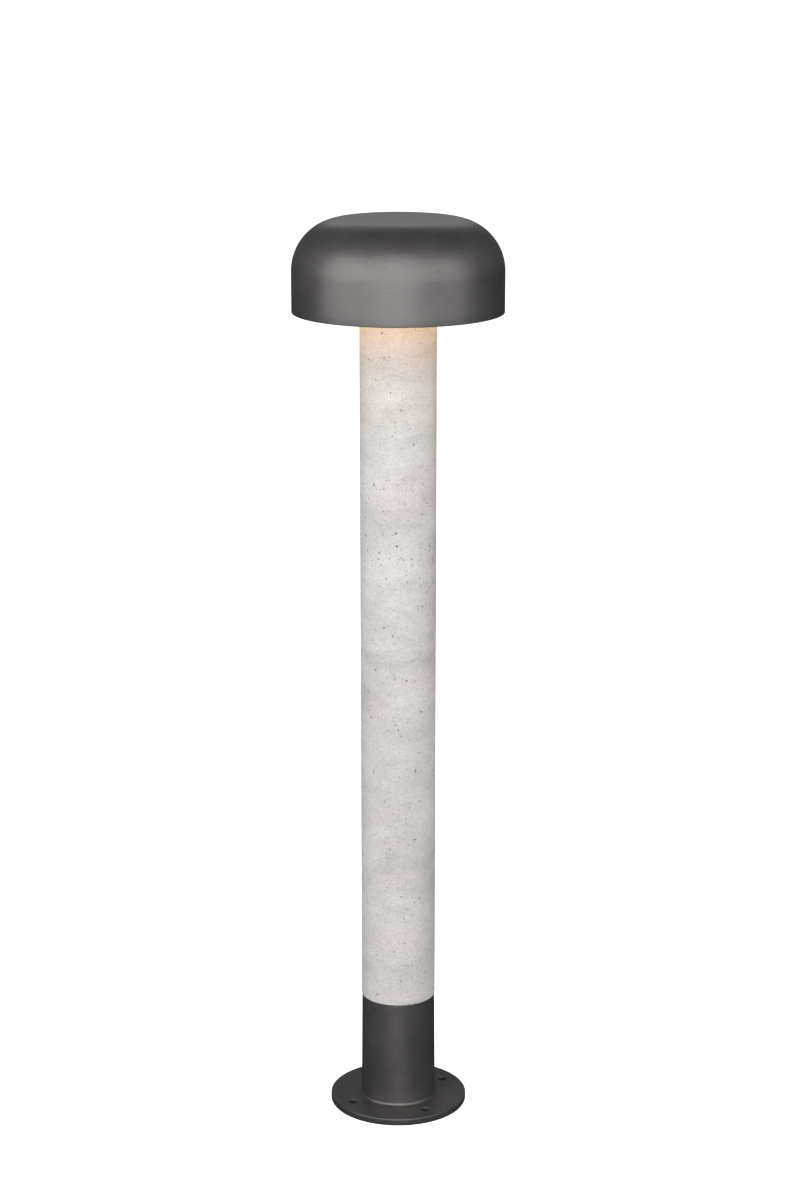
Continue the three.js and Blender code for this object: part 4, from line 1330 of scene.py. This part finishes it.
low, high = box_mm("supply_lead")
arch_r = -(low[0] + LEAD_R) / 2
arch_z = high[2] - LEAD_R - arch_r
arch = [(x, 0, z) for x, z in arc((-arch_r, arch_z), arch_r, 0, 180, 12)]
rise = s_bend(plug_x, 0, plug_top + 0.2, LEAD_STRAIGHT_Z) + [(0, 0, 300), (0, 0, 600)]
lead("supply_lead", LEAD_R, rise + arch)

lead("driver_lead", THIN_LEAD_R, [
    (-33, 14.4, lead_z), (-33, 21, lead_z), (-27, 28, lead_z), (-14, 32, lead_z), (2, 31, lead_z),
    (12, 25, lead_z), (17, 19.6, lead_z), (20, 18, lead_z), (23.6, 18, lead_z)])

low, high = box_mm("board_lead")
x, y = plan("board_lead")[0], low[1] + THIN_LEAD_R
quarter = [(x, b, z) for b, z in arc((y + BEND_R, lead_z - BEND_R), BEND_R, 90, 180, 6)]
lead("board_lead", THIN_LEAD_R, [(x, high[1], lead_z)] + quarter + [(x, y, low[2])])

# %% [markdown]
# ## Floor and light
#
# A plain pale floor and a plain soft studio. The room gives an even, modest light. Three soft panels stand
# in an arc in front, higher than the cap, the left one stronger than the right, a small card touches the
# crown, and a weak panel behind lights the far side. The floor and the background look white to the camera,
# as on a sweep of white paper. Under the flange the floor is painted near-black, as painted shade, so that
# the anchor holes read as holes. A studio would hang black flags so that all this white doesn't wash out the
# dark metal. Here the same is done by what a ray sees: reflections see a dimmer room than the camera does,
# and don't see the floor.

# %% Floor
FLOOR_HALF = 60.0  # metres


def paper_sweep():
    material, tree, place = new_material("white paper sweep")
    ray = add(tree, "LightPath").outputs["Is Camera Ray"]
    fibre = add(tree, "TexNoise", {"Vector": place, "Scale": grain(3), "Detail": 2.0})
    tone = add(tree, "ValToRGB", {"Fac": fibre}, stops=[(0.3, linear("#dcdcdb")), (0.7, linear("#e2e2e1"))])
    reach = add(tree, "VectorMath", {0: place}, {"operation": "LENGTH"}).outputs["Value"]
    clear = add(tree, "Math", {0: reach, 1: (FLANGE_R - 0.5) * MM}, {"operation": "GREATER_THAN"})
    lift = add(tree, "Math", {0: ray, 1: clear}, {"operation": "MULTIPLY"})
    # Under the flange the floor is painted near-black: painted shade where the base keeps the light off.
    paper = add(tree, "Mix", {FACTOR: clear, FIRST: linear("#0c0c0c"), SECOND: tone}, {"data_type": "RGBA"})
    surface(tree, {"Base Color": paper.outputs[RESULT], "Roughness": 0.9, "Specular IOR Level": 0.0,
                   "Emission Color": linear("#ffffff"), "Emission Strength": lift})
    return material


start()
bpy.ops.mesh.primitive_plane_add(size=2 * FLOOR_HALF, location=(0, 0, -0.5 * MM))
floor = bpy.context.object
floor.name = "floor"
floor.data.materials.append(paper_sweep())
apply_place(floor)
floor.visible_glossy = False
print("floor:", 2 * FLOOR_HALF, "m across")

# %% The room's light
ROOM = 0.42
REFLECTED_LOW, REFLECTED_LEVEL, REFLECTED_HIGH = 0.03, 0.105, 0.08


def studio_world():
    world = bpy.data.worlds.new("soft studio")
    world.use_nodes = True
    tree = world.node_tree
    tree.nodes.clear()
    way = add(tree, "TexCoord").outputs["Generated"]
    up = add(tree, "SeparateXYZ", {"Vector": way}).outputs["Z"]
    height = add(tree, "MapRange", {"Value": up, "From Min": -1.0, "From Max": 1.0})
    flagged = add(tree, "ValToRGB", {"Fac": height}, stops=[
        (0.42, grey(REFLECTED_LOW)), (0.52, grey(REFLECTED_LEVEL)), (0.75, grey(REFLECTED_LEVEL)),
        (0.92, grey(REFLECTED_HIGH))])
    path = add(tree, "LightPath").outputs
    lit_by = add(tree, "Mix", {FACTOR: path["Is Glossy Ray"], FIRST: grey(ROOM), SECOND: flagged},
                 {"data_type": "RGBA"})
    seen = add(tree, "Mix", {FACTOR: path["Is Camera Ray"], FIRST: lit_by.outputs[RESULT], SECOND: grey(1.0)},
               {"data_type": "RGBA"})
    light = add(tree, "Background", {"Color": seen.outputs[RESULT], "Strength": 1.0})
    add(tree, "OutputWorld", {"Surface": light})
    bpy.context.scene.world = world


studio_world()
bpy.context.scene.view_settings.view_transform = "Standard"
print("room light:", ROOM)

# %% Soft boxes
PANEL_DISTANCE = 1.6
PANEL_W = 1.55


def soft_box(name, place, aim, width, height, watts):
    """A soft rectangular light, in metres and watts, that the camera doesn't see."""
    bpy.ops.object.light_add(type="AREA", location=place)
    lamp = bpy.context.object
    lamp.name = name
    lamp.data.shape = "RECTANGLE"
    lamp.data.size = width
    lamp.data.size_y = height
    lamp.data.energy = watts
    lamp.rotation_mode = "QUATERNION"
    lamp.rotation_quaternion = (Vector(aim) - Vector(place)).to_track_quat("-Z", "Y")
    lamp.visible_camera = False


for name, side, z, tall, watts in (("left panel", -58, 1.35, 1.8, 17.5), ("front panel", -4, 1.45, 2.8, 28.0),
                                   ("right panel", 50, 1.35, 1.8, 12.8)):
    x, y = polar(PANEL_DISTANCE, side - 90)
    soft_box(name, (x, y, z), (0, 0, z), PANEL_W, tall, watts)
soft_box("crown card", (0, 1.0, 1.35), (0, 0, 0.85), 0.7, 0.5, 0.92)

# The back panel only fills: it stays out of the reflections in the coat.
soft_box("back panel", (0, PANEL_DISTANCE, 0.9), (0, 0, 0.5), PANEL_W, 1.5, 7.0)
bpy.context.object.visible_glossy = False
print("soft boxes: three panels in an arc, a crown card and a back panel")
